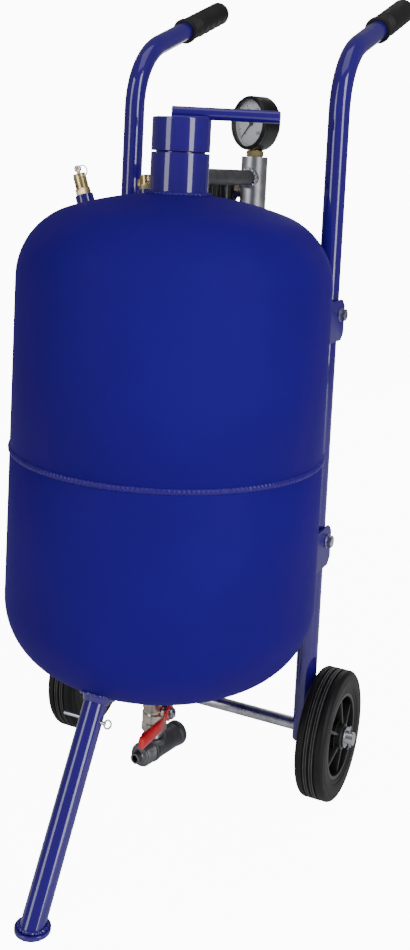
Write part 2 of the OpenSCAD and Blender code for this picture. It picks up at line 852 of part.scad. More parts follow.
// C-shaped pressure tube behind the dial, with the movement plate that carries the arbor
module bourdon_tube() {
    color(brass) at_gauge() difference() {
        union() {
            translate([0, 0, gauge_back + 8]) rotate([0, 0, -70]) rotate_extrude(angle = 250)
                translate([20, 0]) circle(2.5, $fn = 24);
            translate([-10, -10, dial_z - 10]) cube([20, 20, 3]);
            translate([-6, -15, dial_z - 10]) cube([12, 6, 3]);
        }
        translate([0, 0, dial_z - 6]) cylinder(d = arbor_d + 2 * slack, h = 9);
    }
}

// ---- Moisture separator ----

module at_separator() {
    translate([separator_x, manifold_y, 0]) children();
}

module port_along_x(from, len, d) {
    translate([from, 0, port_z]) rotate([0, 90, 0]) cylinder(d = d, h = len);
}

module separator_nipple() {
    reach = 8;
    color(nickel) difference() {
        translate([0, manifold_y, 0]) union() {
            port_along_x(-manifold_d / 2 - port_hex_len - reach, 2 * reach + port_hex_len - 2, port_thread_d);
            translate([-manifold_d / 2 - port_hex_len, 0, port_z]) rotate([0, 90, 0]) hex(port_hex_af, port_hex_len);
        }
        translate([0, manifold_y, 0]) port_along_x(-2 * manifold_d, 3 * manifold_d, 8);
    }
}

// Ribbed head with a port on each side and a socket for the bowl
module separator_head() {
    h = separator_top_z - separator_low_z;
    color("#202123") at_separator() difference() {
        union() {
            translate([0, 0, separator_low_z]) cylinder(d = separator_d - 2, h = h);
            for (i = [0 : 19]) rotate([0, 0, i * 18]) translate([separator_d / 2 - 1.4, 0, separator_low_z + 3])
                cylinder(d = 2.8, h = h - 6, $fn = 16);
        }
        port_along_x(-separator_d, 2 * separator_d, 8);
        for (side = [-1, 1]) port_along_x(side > 0 ? separator_d / 2 - 9 : -separator_d / 2 - 9, 18,
            port_thread_d + 2 * thread_gap);
        port_along_x(-separator_d, separator_d / 2 + 1, port_hex_af + 4);
        translate([0, 0, separator_low_z - over]) cylinder(d = bowl_d - 6, h = 5);
    }
}

module separator_bowl() {
    z = separator_low_z - bowl_len;
    color("#2b2d30") at_separator() translate([0, 0, z]) difference() {
        union() {
            translate([0, 0, 6]) cylinder(d = bowl_d, h = bowl_len - 6);
            cylinder(d1 = bowl_d - 14, d2 = bowl_d, h = 6);
        }
        translate([0, 0, 6]) cylinder(d = bowl_d - 2 * bowl_wall, h = bowl_len);
        translate([0, 0, -over]) cylinder(d = 6 + 2 * fit, h = 12);
    }
}

module separator_element() {
    color("#e8e2d0") at_separator() translate([0, 0, separator_low_z - 38])
        pipe(20, 4, 38 + 4 - over);
}

// Quarter-turn drain with a cross bar, under the bowl
module drain_knob() {
    z = separator_low_z - bowl_len;
    color(brass) at_separator() translate([0, 0, z]) {
        translate([0, 0, -4]) cylinder(d = 6, h = 9);
        translate([0, 0, -12]) cylinder(d = drain_d, h = 11.6);
        translate([-10, -2, -11]) cube([20, 4, 6]);
    }
}

// Male plug of a quick coupler on the separator's inlet
module inlet_plug() {
    face = -separator_d / 2 + 1;
    color(nickel) at_separator() translate([face, 0, port_z]) rotate([0, -90, 0]) difference() {
        union() {
            translate([0, 0, -7]) cylinder(d = port_thread_d, h = 8);
            hex(port_hex_af, 8);
            translate([0, 0, 8]) cylinder(d = 9, h = 14);
            translate([0, 0, 12]) cylinder(d1 = 9, d2 = 12, h = 2);
            translate([0, 0, 14]) cylinder(d = 12, h = 4);
            translate([0, 0, 22]) cylinder(d = 7.6, h = 8);
        }
        translate([0, 0, -8]) cylinder(d = 5.5, h = 60);
    }
}

// ---- Safety valve ----

module on_safety_bung() {
    at_safety_valve() translate([0, 0, bung_rise]) children();
}

module safety_body() {
    top = safety_hex_h + safety_chamber_h;
    color(brass) on_safety_bung() difference() {
        union() {
            translate([0, 0, -8]) cylinder(d = fitting_d, h = 8);
            hex(safety_hex_af, safety_hex_h);
            cylinder(d = safety_barrel_d, h = top);
        }
        translate([0, 0, -8 - over]) cylinder(d = 6, h = 30);
        translate([0, 0, safety_hex_h - 2]) cylinder(d = chamber_d, h = safety_chamber_h + 2 + over);
        for (a = [0, 120, 240]) translate([0, 0, safety_hex_h + 4]) rotate([0, 90, a + 60])
            cylinder(d = 3, h = safety_barrel_d);
    }
}

module safety_bonnet() {
    color(brass) on_safety_bung() translate([0, 0, safety_hex_h + safety_chamber_h]) difference() {
        cylinder(d = safety_barrel_d, h = safety_cap_h);
        translate([0, 0, -over]) cylinder(d = safety_stem_d + 2 * fit, h = safety_cap_h + 2 * over);
    }
}

// Disc, stem and the flat eye that holds the ring
module safety_stem() {
    disc_z = safety_hex_h - 2;
    color(nickel) on_safety_bung() difference() {
        union() {
            translate([0, 0, disc_z]) cylinder(d = chamber_d - 1, h = 2);
            translate([0, 0, disc_z]) cylinder(d = safety_stem_d, h = safety_top + eye_rise - 3 - disc_z);
            translate([0, eye_t / 2, safety_top + eye_rise]) rotate([90, 0, 0]) cylinder(d = 8, h = eye_t);
        }
        translate([0, eye_t, safety_top + eye_rise]) rotate([90, 0, 0])
            cylinder(d = ring_wire + 1, h = 2 * eye_t);
    }
}

// Spring between the disc and the bonnet, as a sleeve of its outer and inner diameters
module safety_spring() {
    gap = safety_lift + slack;
    color(zinc) on_safety_bung() translate([0, 0, safety_hex_h])
        pipe(chamber_d - 1.2, 1.6, safety_chamber_h - gap);
}

// Ring through the stem's eye, drooping on the side of the neck
module pull_ring() {
    color(zinc) on_safety_bung() translate([0, 0, safety_top + eye_rise]) rotate([0, -ring_droop, 0])
        translate([-ring_r, 0, 0]) wire_ring(ring_r, ring_wire);
}

// ---- Vent cock ----

module on_vent_bung() {
    at_vent() translate([0, 0, bung_rise]) children();
}

module vent_body() {
    top = vent_hex_h + vent_barrel_h;
    color(brass) on_vent_bung() difference() {
        union() {
            translate([0, 0, -8]) cylinder(d = fitting_d, h = 8);
            hex(vent_hex_af, vent_hex_h);
            cylinder(d = vent_barrel_d, h = top);
        }
        translate([0, 0, -8 - over]) cylinder(d = 3.5, h = top + 12);
        translate([-vent_barrel_d, 0, vent_hex_h + vent_barrel_h / 2]) rotate([0, 90, 0])
            cylinder(d = vent_key_d + 2 * fit, h = 2 * vent_barrel_d);
    }
}

// Cross-drilled key with a round knob, shut at rest
module vent_key() {
    z = vent_hex_h + vent_barrel_h / 2;
    color(brass) on_vent_bung() difference() {
        translate([-vent_barrel_d / 2 - 1, 0, z]) rotate([0, 90, 0]) {
            cylinder(d = vent_key_d, h = vent_barrel_d + 2);
            translate([0, 0, vent_barrel_d + 2]) cylinder(d = vent_knob_d, h = 5);
        }
        translate([0, vent_barrel_d, z]) rotate([90, 0, 0]) cylinder(d = 3.5, h = 2 * vent_barrel_d);
    }
}

// ---- Outlet valve ----

// From the ball's centre: +X along the stem, the flow runs down -Z
module at_valve() {
    translate([0, 0, valve_z]) children();
}

module valve_nipples() {
    d = thread_d - 2 * thread_gap;
    color(zinc) {
        translate([0, 0, floor_gap - outlet_drop - nipple_show - thread_len + 0.5])
            pipe(d, (d - port_d) / 2, nipple_show + 2 * thread_len);
        translate([0, 0, tee_z + tee_d / 2 - 5]) pipe(d, (d - port_d) / 2, tee_show + thread_len + 4);
    }
}

module valve_body() {
    color(nickel) at_valve() difference() {
        union() {
            translate([0, 0, -valve_half]) hex(valve_af, valve_hex_h);
            translate([0, 0, valve_hex_h - valve_half]) cylinder(d = valve_barrel_d, h = valve_joint + valve_half - valve_hex_h);
            rotate([0, 90, 0]) cylinder(d = stem_boss_d, h = stem_boss_x);
        }
        translate([0, 0, -valve_half - over]) cylinder(d = thread_d, h = thread_len + over);
        translate([0, 0, -valve_half]) cylinder(d = port_d, h = valve_half);
        translate([0, 0, -chamber_half]) cylinder(d = ball_d + 2 * slack, h = chamber_half + valve_joint + over);
        rotate([0, 90, 0]) cylinder(d = stem_d + 2 * fit, h = stem_boss_x + over);
    }
}

// Screwed end that holds the seats against the ball
module valve_end() {
    spigot = valve_joint - chamber_half;
    color(nickel) at_valve() difference() {
        union() {
            translate([0, 0, valve_joint]) hex(valve_af, valve_half - valve_joint);
            translate([0, 0, valve_joint - spigot]) cylinder(d = ball_d, h = spigot + over);
        }
        translate([0, 0, valve_half - thread_len]) cylinder(d = thread_d, h = thread_len + over);
        translate([0, 0, valve_joint - spigot - over]) cylinder(d = port_d, h = valve_half);
    }
}

module valve_seats() {
    h = 4;
    color("white") at_valve() for (end = [0, 1]) mirror([0, 0, end]) difference() {
        translate([0, 0, chamber_half - h]) pipe(ball_d, (ball_d - port_d) / 2, h);
        sphere(d = ball_d + 2 * fit);
    }
}

// Ball with its port across the flow, as the valve stands shut
module valve_ball() {
    tang = 3;
    color(zinc) at_valve() difference() {
        rotate([90, 0, 0]) rotate_extrude() intersection() {
            circle(d = ball_d);
            translate([port_d / 2, -ball_d / 2]) square([ball_d, ball_d]);
        }
        translate([ball_d / 2 - tang, -tang / 2 - fit, -ball_d / 2]) cube([ball_d, tang + 2 * fit, ball_d]);
    }
}

module valve_stem() {
    tang = 3;
    end = lever_x + lever_t + nut_h + 1.5;
    color(zinc) at_valve() difference() {
        union() {
            translate([ball_d / 2, 0, 0]) rotate([0, 90, 0]) cylinder(d = stem_d, h = end - ball_d / 2);
            translate([ball_d / 2 - tang + slack, -tang / 2, -2.4]) cube([tang, tang, 4.8]);
        }
        for (side = [0, 1]) mirror([0, side, 0])
            translate([lever_x - 0.3, stem_flat / 2, -stem_d]) cube([end, stem_d, 2 * stem_d]);
    }
}

// Cranked flat lever, pointing along -Y when the valve is shut
module valve_lever() {
    far = lever_x + lever_crank;
    color(lever_red) at_valve() difference() {
        union() {
            translate([0, 0, -lever_w / 2]) linear_extrude(lever_w)
                polygon([[lever_x, 0], [lever_x, -12], [far, -24], [far, 1 - lever_len],
                    [far + lever_t, 1 - lever_len], [far + lever_t, -24 - lever_t / 2],
                    [lever_x + lever_t, -12 - lever_t / 2], [lever_x + lever_t, 0]]);
            translate([lever_x, 0, 0]) rotate([0, 90, 0]) cylinder(d = 18, h = lever_t);
        }
        intersection() {
            translate([lever_x - over, 0, 0]) rotate([0, 90, 0]) cylinder(d = stem_d + 2 * fit, h = lever_t + 2 * over);
            cube([4 * lever_x, stem_flat + 2 * fit, 2 * stem_d], center = true);
        }
    }
}

// Dipped sleeve over the lever's straight end
module lever_sleeve() {
    mid = lever_x + lever_crank + lever_t / 2;
    color(lever_red) at_valve() difference() {
        union() {
            translate([mid - sleeve_t / 2, sleeve_w / 2 - lever_len, -sleeve_w / 2])
                cube([sleeve_t, lever_len - sleeve_w / 2 - sleeve_from, sleeve_w]);
            translate([mid - sleeve_t / 2, sleeve_w / 2 - lever_len, 0]) rotate([0, 90, 0])
                cylinder(d = sleeve_w, h = sleeve_t);
        }
        translate([mid - lever_t / 2, 1 - lever_len, -lever_w / 2]) cube([lever_t, lever_len, lever_w]);
    }
}

module lever_nut() {
    color(zinc) at_valve() translate([lever_x + lever_t, 0, 0]) rotate([0, 90, 0]) difference() {
        hex(nut_af, nut_h);
        translate([0, 0, -over]) cylinder(d = stem_d, h = nut_h + 2 * over);
    }
}

// ---- Mixing tee ----

// From the tee's axis under the valve, with +Z towards the nozzle (near -Y)
module at_tee() {
    translate([0, 0, tee_z]) rotate([0, 0, tee_turn]) rotate([90, 0, 0]) children();
}

module mixing_tee() {
    color(iron) difference() {
        at_tee() translate([0, 0, tee_front - tee_len]) difference() {
            cylinder(d = tee_d, h = tee_len);
            translate([0, 0, -over]) cylinder(d = tee_bore, h = tee_len + 2 * over);
            translate([0, 0, -over]) cylinder(d = air_port_d, h = 14 + over);
        }
        translate([0, 0, tee_z + tee_d / 2 - 5]) cylinder(d = thread_d, h = tee_d);
        translate([0, 0, tee_z]) cylinder(d = port_d, h = tee_d);
    }
}

module hose_nipple() {
    color(iron) at_tee() difference() {
        union() {
            translate([0, 0, tee_front - 10]) cylinder(d = tee_bore - 2 * thread_gap, h = 10);
            translate([0, 0, tee_front]) cylinder(d = nozzle_collar_d, h = nozzle_collar_len);
            translate([0, 0, tee_front]) cylinder(d = nozzle_d, h = nozzle_collar_len + nozzle_len);
        }
        translate([0, 0, tee_front - 12]) cylinder(d = nozzle_bore, h = 60);
    }
}

placed() upper_shell();
placed() lower_shell();
placed() weld_beads();
placed() fill_neck();
placed() bungs();
placed() outlet_bung();
placed() handle_tube_left();
placed() handle_tube_right();
placed() grips();
placed() tube_brackets();
placed() bracket_bolts();
placed() axle();
placed() axle_washers();
placed() cotter_pins();
placed() tyre_left();
placed() tyre_right();
placed() rim_left();
placed() rim_right();
placed() leg_socket();
placed() front_leg();
placed() foot_plate();
placed() leg_pin();
placed() filler_cap();
placed() cap_handle();
placed() cap_gasket();
placed() manifold_tube();
placed() manifold_bracket();
placed() manifold_outlet();
placed() cross_pipe();
placed() gauge_socket();
placed() gauge_case();
placed() gauge_bezel();
placed() gauge_dial();
placed() gauge_pointer();
placed() gauge_lens();
placed() bourdon_tube();
placed() separator_nipple();
placed() separator_head();
placed() separator_bowl();
placed() separator_element();
placed() drain_knob();
placed() inlet_plug();
placed() safety_body();
placed() safety_bonnet();
placed() safety_stem();
placed() safety_spring();
placed() pull_ring();
placed() vent_body();
placed() vent_key();
placed() valve_nipples();
placed() valve_body();
placed() valve_end();
placed() valve_seats();
placed() valve_ball();
placed() valve_stem();
placed() valve_lever();
placed() lever_sleeve();
placed() lever_nut();
placed() mixing_tee();
placed() hose_nipple();
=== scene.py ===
# %% [markdown]
# # Pressure-pot blaster on a hand-truck frame
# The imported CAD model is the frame: every body, joint and size comes from it. This lesson
# builds the looks around it, piece by piece. Sizes are worked out in millimetres, as on a
# drawing, and turned to metres when a mesh is made.

# %% Load the frame
import json
import math
import random

import bmesh
import bpy
from mathutils import Matrix, Vector

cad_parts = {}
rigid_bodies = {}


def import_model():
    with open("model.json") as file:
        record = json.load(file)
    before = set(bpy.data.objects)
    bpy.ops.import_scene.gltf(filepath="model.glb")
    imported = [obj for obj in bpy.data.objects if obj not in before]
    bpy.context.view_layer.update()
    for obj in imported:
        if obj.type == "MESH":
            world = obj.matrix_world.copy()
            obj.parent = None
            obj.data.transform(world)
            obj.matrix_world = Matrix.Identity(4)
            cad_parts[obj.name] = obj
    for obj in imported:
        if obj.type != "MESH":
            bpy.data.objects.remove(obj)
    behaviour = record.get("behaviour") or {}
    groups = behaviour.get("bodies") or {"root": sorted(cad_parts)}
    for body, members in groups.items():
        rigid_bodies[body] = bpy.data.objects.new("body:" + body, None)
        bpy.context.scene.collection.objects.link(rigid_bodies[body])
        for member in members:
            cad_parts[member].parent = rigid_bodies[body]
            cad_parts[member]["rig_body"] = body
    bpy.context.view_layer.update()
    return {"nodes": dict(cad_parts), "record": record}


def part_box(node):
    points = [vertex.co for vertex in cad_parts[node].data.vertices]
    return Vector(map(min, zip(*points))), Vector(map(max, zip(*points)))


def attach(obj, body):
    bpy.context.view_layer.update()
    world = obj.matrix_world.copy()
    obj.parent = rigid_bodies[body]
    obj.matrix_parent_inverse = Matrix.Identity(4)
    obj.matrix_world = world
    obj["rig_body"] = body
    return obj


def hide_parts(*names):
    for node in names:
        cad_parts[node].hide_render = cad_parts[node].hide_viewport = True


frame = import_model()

MM = 0.001
cap_low, cap_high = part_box("filler_cap")
AXIS_Y = (cap_low.y + cap_high.y) / 2
print("tank axis at y =", round(AXIS_Y, 5), "with", len(frame["nodes"]), "CAD nodes")

# %% [markdown]
# Shader and geometry trees are both wired from Python expressions. `Wire` wraps one output
# socket, and arithmetic on it adds Math nodes. `Bench` owns a tree and has the one method
# that adds any other node.

# %% Wires and benches
class Wire:
    """An output socket that takes part in arithmetic."""

    def __init__(self, bench, socket):
        self.bench, self.socket = bench, socket

    def maths(self, operation, a, b=None):
        values = {0: a} if b is None else {0: a, 1: b}
        return self.bench.add("ShaderNodeMath", {"operation": operation}, values)

    def __add__(self, other): return self.maths("ADD", self, other)
    def __radd__(self, other): return self.maths("ADD", other, self)
    def __sub__(self, other): return self.maths("SUBTRACT", self, other)
    def __rsub__(self, other): return self.maths("SUBTRACT", other, self)
    def __mul__(self, other): return self.maths("MULTIPLY", self, other)
    def __rmul__(self, other): return self.maths("MULTIPLY", other, self)
    def __truediv__(self, other): return self.maths("DIVIDE", self, other)
    def __gt__(self, other): return self.maths("GREATER_THAN", self, other)
    def sine(self): return self.maths("SINE", self)


class Bench:
    """A node tree and the one way to add nodes to it."""

    def __init__(self, tree):
        self.tree = tree

    def add(self, kind, settings=None, values=None, out=0):
        node = self.tree.nodes.new(kind)
        for name, value in (settings or {}).items():
            if name == "stops":
                ramp = node.color_ramp
                while len(ramp.elements) < len(value):
                    ramp.elements.new(1.0)
                for stop, (place, colour) in zip(ramp.elements, value):
                    stop.position, stop.color = place, (*colour, 1.0)
            else:
                setattr(node, name, value)
        for name, value in (values or {}).items():
            self.feed(node.inputs[name], value)
        return Wire(self, node.outputs[out])

    def feed(self, socket, value):
        if isinstance(value, Wire):
            self.tree.links.new(value.socket, socket)
        else:
            socket.default_value = value


# %% [markdown]
# A `Finish` is a material on a Principled shader. Numbers that are the same all over sit on
# the shader's own sockets; only what varies is wired. Patterns read Object coordinates,
# which are the same for every piece because each one's mesh is in the frame's own place.

# %% The finish class
finishes = {}


class Finish(Bench):
    def __init__(self, name, **plain):
        finishes[name] = self
        self.material = bpy.data.materials.new(name)
        self.material.use_nodes = True
        super().__init__(self.material.node_tree)
        self.shader = self.tree.nodes["Principled BSDF"]
        for socket, value in plain.items():
            self.shader.inputs[socket.replace("_", " ")].default_value = value
        self.place = self.add("ShaderNodeTexCoord", out="Object")

    def noise(self, scale, detail=4.0, vector=None, rough=0.55):
        return self.add("ShaderNodeTexNoise", {}, {
            "Vector": vector or self.place, "Scale": scale, "Detail": detail, "Roughness": rough})

    def stretched(self, x, y, z):
        return self.add("ShaderNodeVectorMath", {"operation": "MULTIPLY"}, {0: self.place, 1: (x, y, z)})

    def ramp(self, factor, *stops):
        return self.add("ShaderNodeValToRGB", {"stops": stops}, {"Fac": factor})

    def blend(self, factor, a, b):
        mix = self.tree.nodes.new("ShaderNodeMix")
        mix.data_type = "RGBA"
        for socket, value in ((mix.inputs[0], factor), (mix.inputs[6], a), (mix.inputs[7], b)):
            self.feed(socket, value if isinstance(value, (Wire, float)) else (*value, 1.0))
        return Wire(self, mix.outputs[2])

    def drive(self, **wires):
        for socket, wire in wires.items():
            self.feed(self.shader.inputs[socket.replace("_", " ")], wire)
        return self

    def bump(self, height, strength=0.2, reach=0.001):
        normal = self.add("ShaderNodeBump", {}, {"Height": height, "Strength": strength, "Distance": reach})
        return self.drive(Normal=normal)


def tint(r, g, b):
    """A display colour, 0 to 255, as the linear colour that a shader takes."""
    return tuple(((c / 255 + 0.055) / 1.055) ** 2.4 if c > 10 else c / 255 / 12.92 for c in (r, g, b))


print("material tools ready")

# %% [markdown]
# ## Finishes
# The shells are sprayed in a satin blue enamel, the tubes, neck and cap in the same blue at
# full gloss. Sprayed enamel isn't perfectly flat: a fine bump called orange peel breaks up its
# reflections, and the coat's thickness changes the colour a little from place to place.

# %% Blue enamel: satin on the shells, glossy on the tubes, dull over welds and brackets
BLUE_DEEP = (0.017, 0.0, 0.185)
BLUE_CLEAR = (0.019, 0.0, 0.21)


def enamel(name, roughness, coat, gleam, peel):
    f = Finish(name, Coat_Weight=coat, Coat_Roughness=0.04, Coat_IOR=1.75, Specular_IOR_Level=gleam)
    patch = f.noise(6.0, detail=3.0)
    dust = f.noise(900.0, detail=2.0)
    f.drive(Base_Color=f.ramp(patch, (0.35, BLUE_DEEP), (0.7, BLUE_CLEAR)),
            Roughness=roughness + f.noise(35.0) * 0.06 + (dust > 0.72) * 0.1)
    f.bump(f.noise(380.0, detail=2.0) + dust * 0.15, strength=peel, reach=0.0004)


enamel("shell_enamel", 0.6, 0.0, 0.08, 0.05)
enamel("blue_paint", 0.3, 0.9, 0.1, 0.02)
enamel("seam_paint", 0.42, 0.12, 0.25, 0.08)

# %% [markdown]
# Rubber and moulded plastic are nearly black, so what tells them apart is their roughness:
# rubber scatters light from a fine grain, the moulded rims have a smoother skin. Handled and
# rolled rubber also picks up a little pale dust, here laid in random patches.

# %% Rubbers and moulded plastic
def dull_black(name, base, wear_and_sheen, roughness, grain, relief, **plain):
    f = Finish(name, **plain)
    bloom = f.noise(45.0, detail=6.0)
    fine = f.noise(grain, detail=3.0)
    f.drive(Base_Color=f.ramp(bloom, (0.4, base), (0.75, wear_and_sheen)),
            Roughness=roughness + fine * 0.16 + bloom * 0.08)
    f.bump(fine, strength=relief, reach=0.0003)


dull_black("black_rubber", tint(14, 14, 14), tint(27, 27, 27), 0.42, 1400.0, 0.35)
dull_black("tyre_rubber", tint(9, 9, 9), tint(21, 20, 20), 0.4, 1100.0, 0.3, Specular_IOR_Level=0.35)
# pale grey for the tread's raised hair lines: a painted highlight, the sheen that they catch
dull_black("worn_rubber", tint(96, 95, 94), tint(140, 138, 136), 0.4, 1100.0, 0.2)
dull_black("black_moulding", tint(17, 17, 18), tint(28, 28, 29), 0.24, 700.0, 0.12)
dull_black("gauge_black", tint(8, 8, 8), tint(15, 15, 16), 0.2, 1600.0, 0.1, Coat_Weight=0.25)

# %% [markdown]
# Bare and plated metals share one recipe: a metallic base, cloudy roughness as plating and
# handling leave it, and hairline tool marks. Noise squeezed along one direction draws the
# marks, and the direction is chosen for how each part was turned or drawn.

# %% Metals
def metal(name, bright, dark, roughness, marks, relief, spangle=0.0):
    f = Finish(name, Metallic=1.0)
    cloud = f.noise(60.0, detail=5.0)
    lines = f.noise(260.0, detail=4.0, vector=f.stretched(*marks))
    shade = f.blend(f.ramp(cloud, (0.35, (0, 0, 0)), (0.7, (1, 1, 1))), dark, bright)
    height = lines
    if spangle:
        cells = f.add("ShaderNodeTexVoronoi", {"feature": "F1"}, {"Vector": f.place, "Scale": 420.0})
        height = lines * 0.4 + cells * spangle
    f.drive(Base_Color=shade, Roughness=roughness + cloud * 0.16 + lines * 0.1)
    f.bump(height, strength=relief, reach=0.0002)


metal("zinc_plate", tint(214, 216, 220), tint(168, 171, 178), 0.16, (1, 1, 6), 0.16, spangle=0.6)
metal("manifold_steel", tint(214, 214, 218), tint(176, 177, 182), 0.26, (1, 1, 9), 0.2)
metal("dark_steel", tint(132, 133, 136), tint(92, 93, 96), 0.3, (1, 1, 9), 0.2)
metal("brass", tint(240, 222, 172), tint(214, 188, 128), 0.14, (1, 1, 8), 0.2)
metal("nickel_plate", tint(222, 214, 202), tint(168, 158, 146), 0.12, (1, 1, 8), 0.2)
metal("chromed_ball", tint(226, 228, 232), tint(206, 208, 214), 0.04, (1, 1, 1), 0.02)

# %% [markdown]
# Cast iron under a thin dark paint is grainy at two sizes: the sand it was cast in and the
# pores of the paint. It is barely metallic until an edge is rubbed.

# %% Painted iron and pipe
def cast(name, dark, light, roughness, grain, relief, shine):
    f = Finish(name, Metallic=shine)
    sand = f.noise(grain, detail=6.0, rough=0.7)
    blotch = f.noise(80.0, detail=4.0)
    f.drive(Base_Color=f.ramp(blotch * 0.6 + sand * 0.4, (0.35, dark), (0.68, light)),
            Roughness=roughness + sand * 0.2)
    f.bump(sand + blotch * 0.5, strength=relief, reach=0.0005)


cast("grey_iron", tint(70, 71, 74), tint(104, 105, 108), 0.28, 620.0, 0.35, 0.6)
cast("dark_pipe", tint(66, 66, 70), tint(94, 94, 99), 0.33, 420.0, 0.2, 0.4)

# %% [markdown]
# The last few are small: dipped vinyl on the lever, the gauge's card, ink and window, the
# smoked bowl, the felt filter in it and the white seat rings.

# %% Vinyl, dial, glass and plastics
def clouded(name, scale, dark, light, roughness, spread, detail=4.0, low=0.3, squeeze=None, **plain):
    """One noise carries both the colour, from dark to light, and the roughness."""
    f = Finish(name, **plain)
    cloud = f.noise(scale, detail, vector=f.stretched(*squeeze) if squeeze else None)
    return f.drive(Base_Color=f.ramp(cloud, (low, dark), (0.7, light)),
                   Roughness=roughness + cloud * spread)


vinyl = clouded("red_vinyl", 70.0, tint(206, 4, 14), tint(232, 10, 20), 0.26, 0.12, 3.0, 0.35,
                Coat_Weight=0.5, Coat_Roughness=0.12, IOR=1.5)
vinyl.bump(vinyl.noise(240.0, detail=2.0), strength=0.12, reach=0.0005)
clouded("dial_white", 800.0, tint(246, 247, 252), tint(252, 252, 255), 0.42, 0.1, 3.0)
ink = Finish("dial_ink")
ink.drive(Base_Color=ink.ramp(ink.noise(900.0), (0.3, tint(16, 16, 18)), (0.7, tint(26, 26, 28))),
          Roughness=0.5 + ink.noise(700.0) * 0.1)
clouded("gauge_glass", 90.0, (0.93, 0.95, 0.96), (0.98, 0.99, 1.0), 0.01, 0.05, 5.0, Alpha=0.05, IOR=1.45)
clouded("smoked_bowl", 50.0, tint(44, 46, 50), tint(66, 68, 72), 0.08, 0.12, 5.0,
        Alpha=0.75, IOR=1.5, Coat_Weight=0.3)
fibres = (1, 1, 0.2)
felt = clouded("filter_element", 1500.0, tint(190, 178, 150), tint(226, 217, 194), 0.75, 0.2, 5.0, 0.35,
               fibres)
felt.bump(felt.noise(1500.0, detail=5.0, vector=felt.stretched(*fibres)), 0.5, 0.0006)
clouded("white_ptfe", 200.0, tint(226, 226, 222), tint(240, 240, 237), 0.3, 0.2)
print(len(finishes), "finishes made")

# %% [markdown]
# ## Turning, bevelling and placing
# Most of this machine is turned, drawn or bent from round stock, so the workhorse is a lathe:
# a half outline spun round an axis. Real edges are never knife sharp, so `eased` rounds each
# corner of an outline before it is spun, and that is what catches the light.

# %% The lathe
def eased(points, radius, arcs=4):
    """A closed outline of (r, z) corners, in mm, each rounded. A third number is a corner's own radius."""
    out = []
    count = len(points)
    for i, corner in enumerate(points):
        here = Vector(corner[:2])
        before, after = Vector(points[i - 1][:2]) - here, Vector(points[(i + 1) % count][:2]) - here
        wanted = corner[2] if len(corner) > 2 else radius
        turn = before.angle(after)
        if wanted <= 0 or turn > math.radians(176) or turn < math.radians(4):
            out.append(tuple(here))
            continue
        reach = min(wanted / math.tan(turn / 2), 0.45 * before.length, 0.45 * after.length)
        a, b = here + before.normalized() * reach, here + after.normalized() * reach
        for step in range(arcs + 1):
            t = step / arcs
            out.append(tuple(a * (1 - t) ** 2 + here * 2 * t * (1 - t) + b * t ** 2))
    return out


def arc(centre, radius, start, end, steps):
    """Points of an arc in (r, z), from one angle to another in degrees."""
    angles = [math.radians(start + (end - start) * i / steps) for i in range(steps + 1)]
    return [(centre[0] + radius * math.cos(a), centre[1] + radius * math.sin(a)) for a in angles]


def spun(outline, segments=72, wobble=None):
    """A closed (r, z) outline spun round Z, in mm. wobble(angle, r, z) gives a point's own r and z."""
    bm = bmesh.new()
    rings = []
    for step in range(segments):
        a = 2 * math.pi * step / segments
        ring = []
        for r, z in outline:
            if wobble:
                r, z = wobble(a, r, z)
            ring.append(bm.verts.new((r * math.cos(a), r * math.sin(a), z)))
        rings.append(ring)
    for step in range(segments):
        one, two = rings[step], rings[(step + 1) % segments]
        for i in range(len(outline)):
            j = (i + 1) % len(outline)
            if outline[i][0] < 1e-6 and outline[j][0] < 1e-6:
                continue
            bm.faces.new((one[i], two[i], two[j], one[j]))
    bmesh.ops.remove_doubles(bm, verts=bm.verts, dist=1e-5)
    bmesh.ops.recalc_face_normals(bm, faces=bm.faces)
    return bm


# %% Turned pieces, and an object with modifiers made a plain mesh
def lathe(points, radius=0.3, segments=64):
    """Corners in (r, z), eased and spun."""
    return spun(eased(points, radius), segments)


def baked(data, prepare=None):
    """The finished mesh of mesh, curve or text data. prepare adds modifiers to its short-lived object."""
    holder = bpy.data.objects.new("holder", data)
    bpy.context.scene.collection.objects.link(holder)
    if prepare:
        prepare(holder)
    graph = bpy.context.evaluated_depsgraph_get()
    mesh = bpy.data.meshes.new_from_object(holder.evaluated_get(graph))
    bpy.data.objects.remove(holder)
    return mesh


def as_bmesh(mesh, merge=None):
    """A bmesh in place of a mesh, with the points closer than merge made one."""
    bm = bmesh.new()
    bm.from_mesh(mesh)
    bpy.data.meshes.remove(mesh)
    if merge:
        bmesh.ops.remove_doubles(bm, verts=bm.verts, dist=merge)
    return bm


# %% [markdown]
# `settle` is how every piece ends: its place goes into its mesh, so the object itself stays at
# the origin, then it is smoothed except at real edges and rides on its CAD body.

# %% Placing a piece
def at(x=0.0, y=0.0, z=0.0):
    return Matrix.Translation((x, y, z))


def turned(degrees, axis):
    return Matrix.Rotation(math.radians(degrees), 4, axis)


HOME = at(0, AXIS_Y / MM, 0)


def settle(name, shapes, finish, stands_for=(), body="tank_frame", sharp=38):
    """shapes is a list of (bmesh in mm, placement) in the tank axis's own coordinates."""
    whole = bmesh.new()
    for bm, placement in shapes:
        part = bpy.data.meshes.new("part")
        bm.transform(Matrix.Scale(MM, 4) @ HOME @ placement)
        if placement.determinant() < 0:
            bmesh.ops.reverse_faces(bm, faces=bm.faces)
        bm.to_mesh(part)
        whole.from_mesh(part)
        bpy.data.meshes.remove(part)
        bm.free()
    mesh = bpy.data.meshes.new(name)
    whole.to_mesh(mesh)
    whole.free()
    show(name, mesh, finish, body, stands_for, sharp)


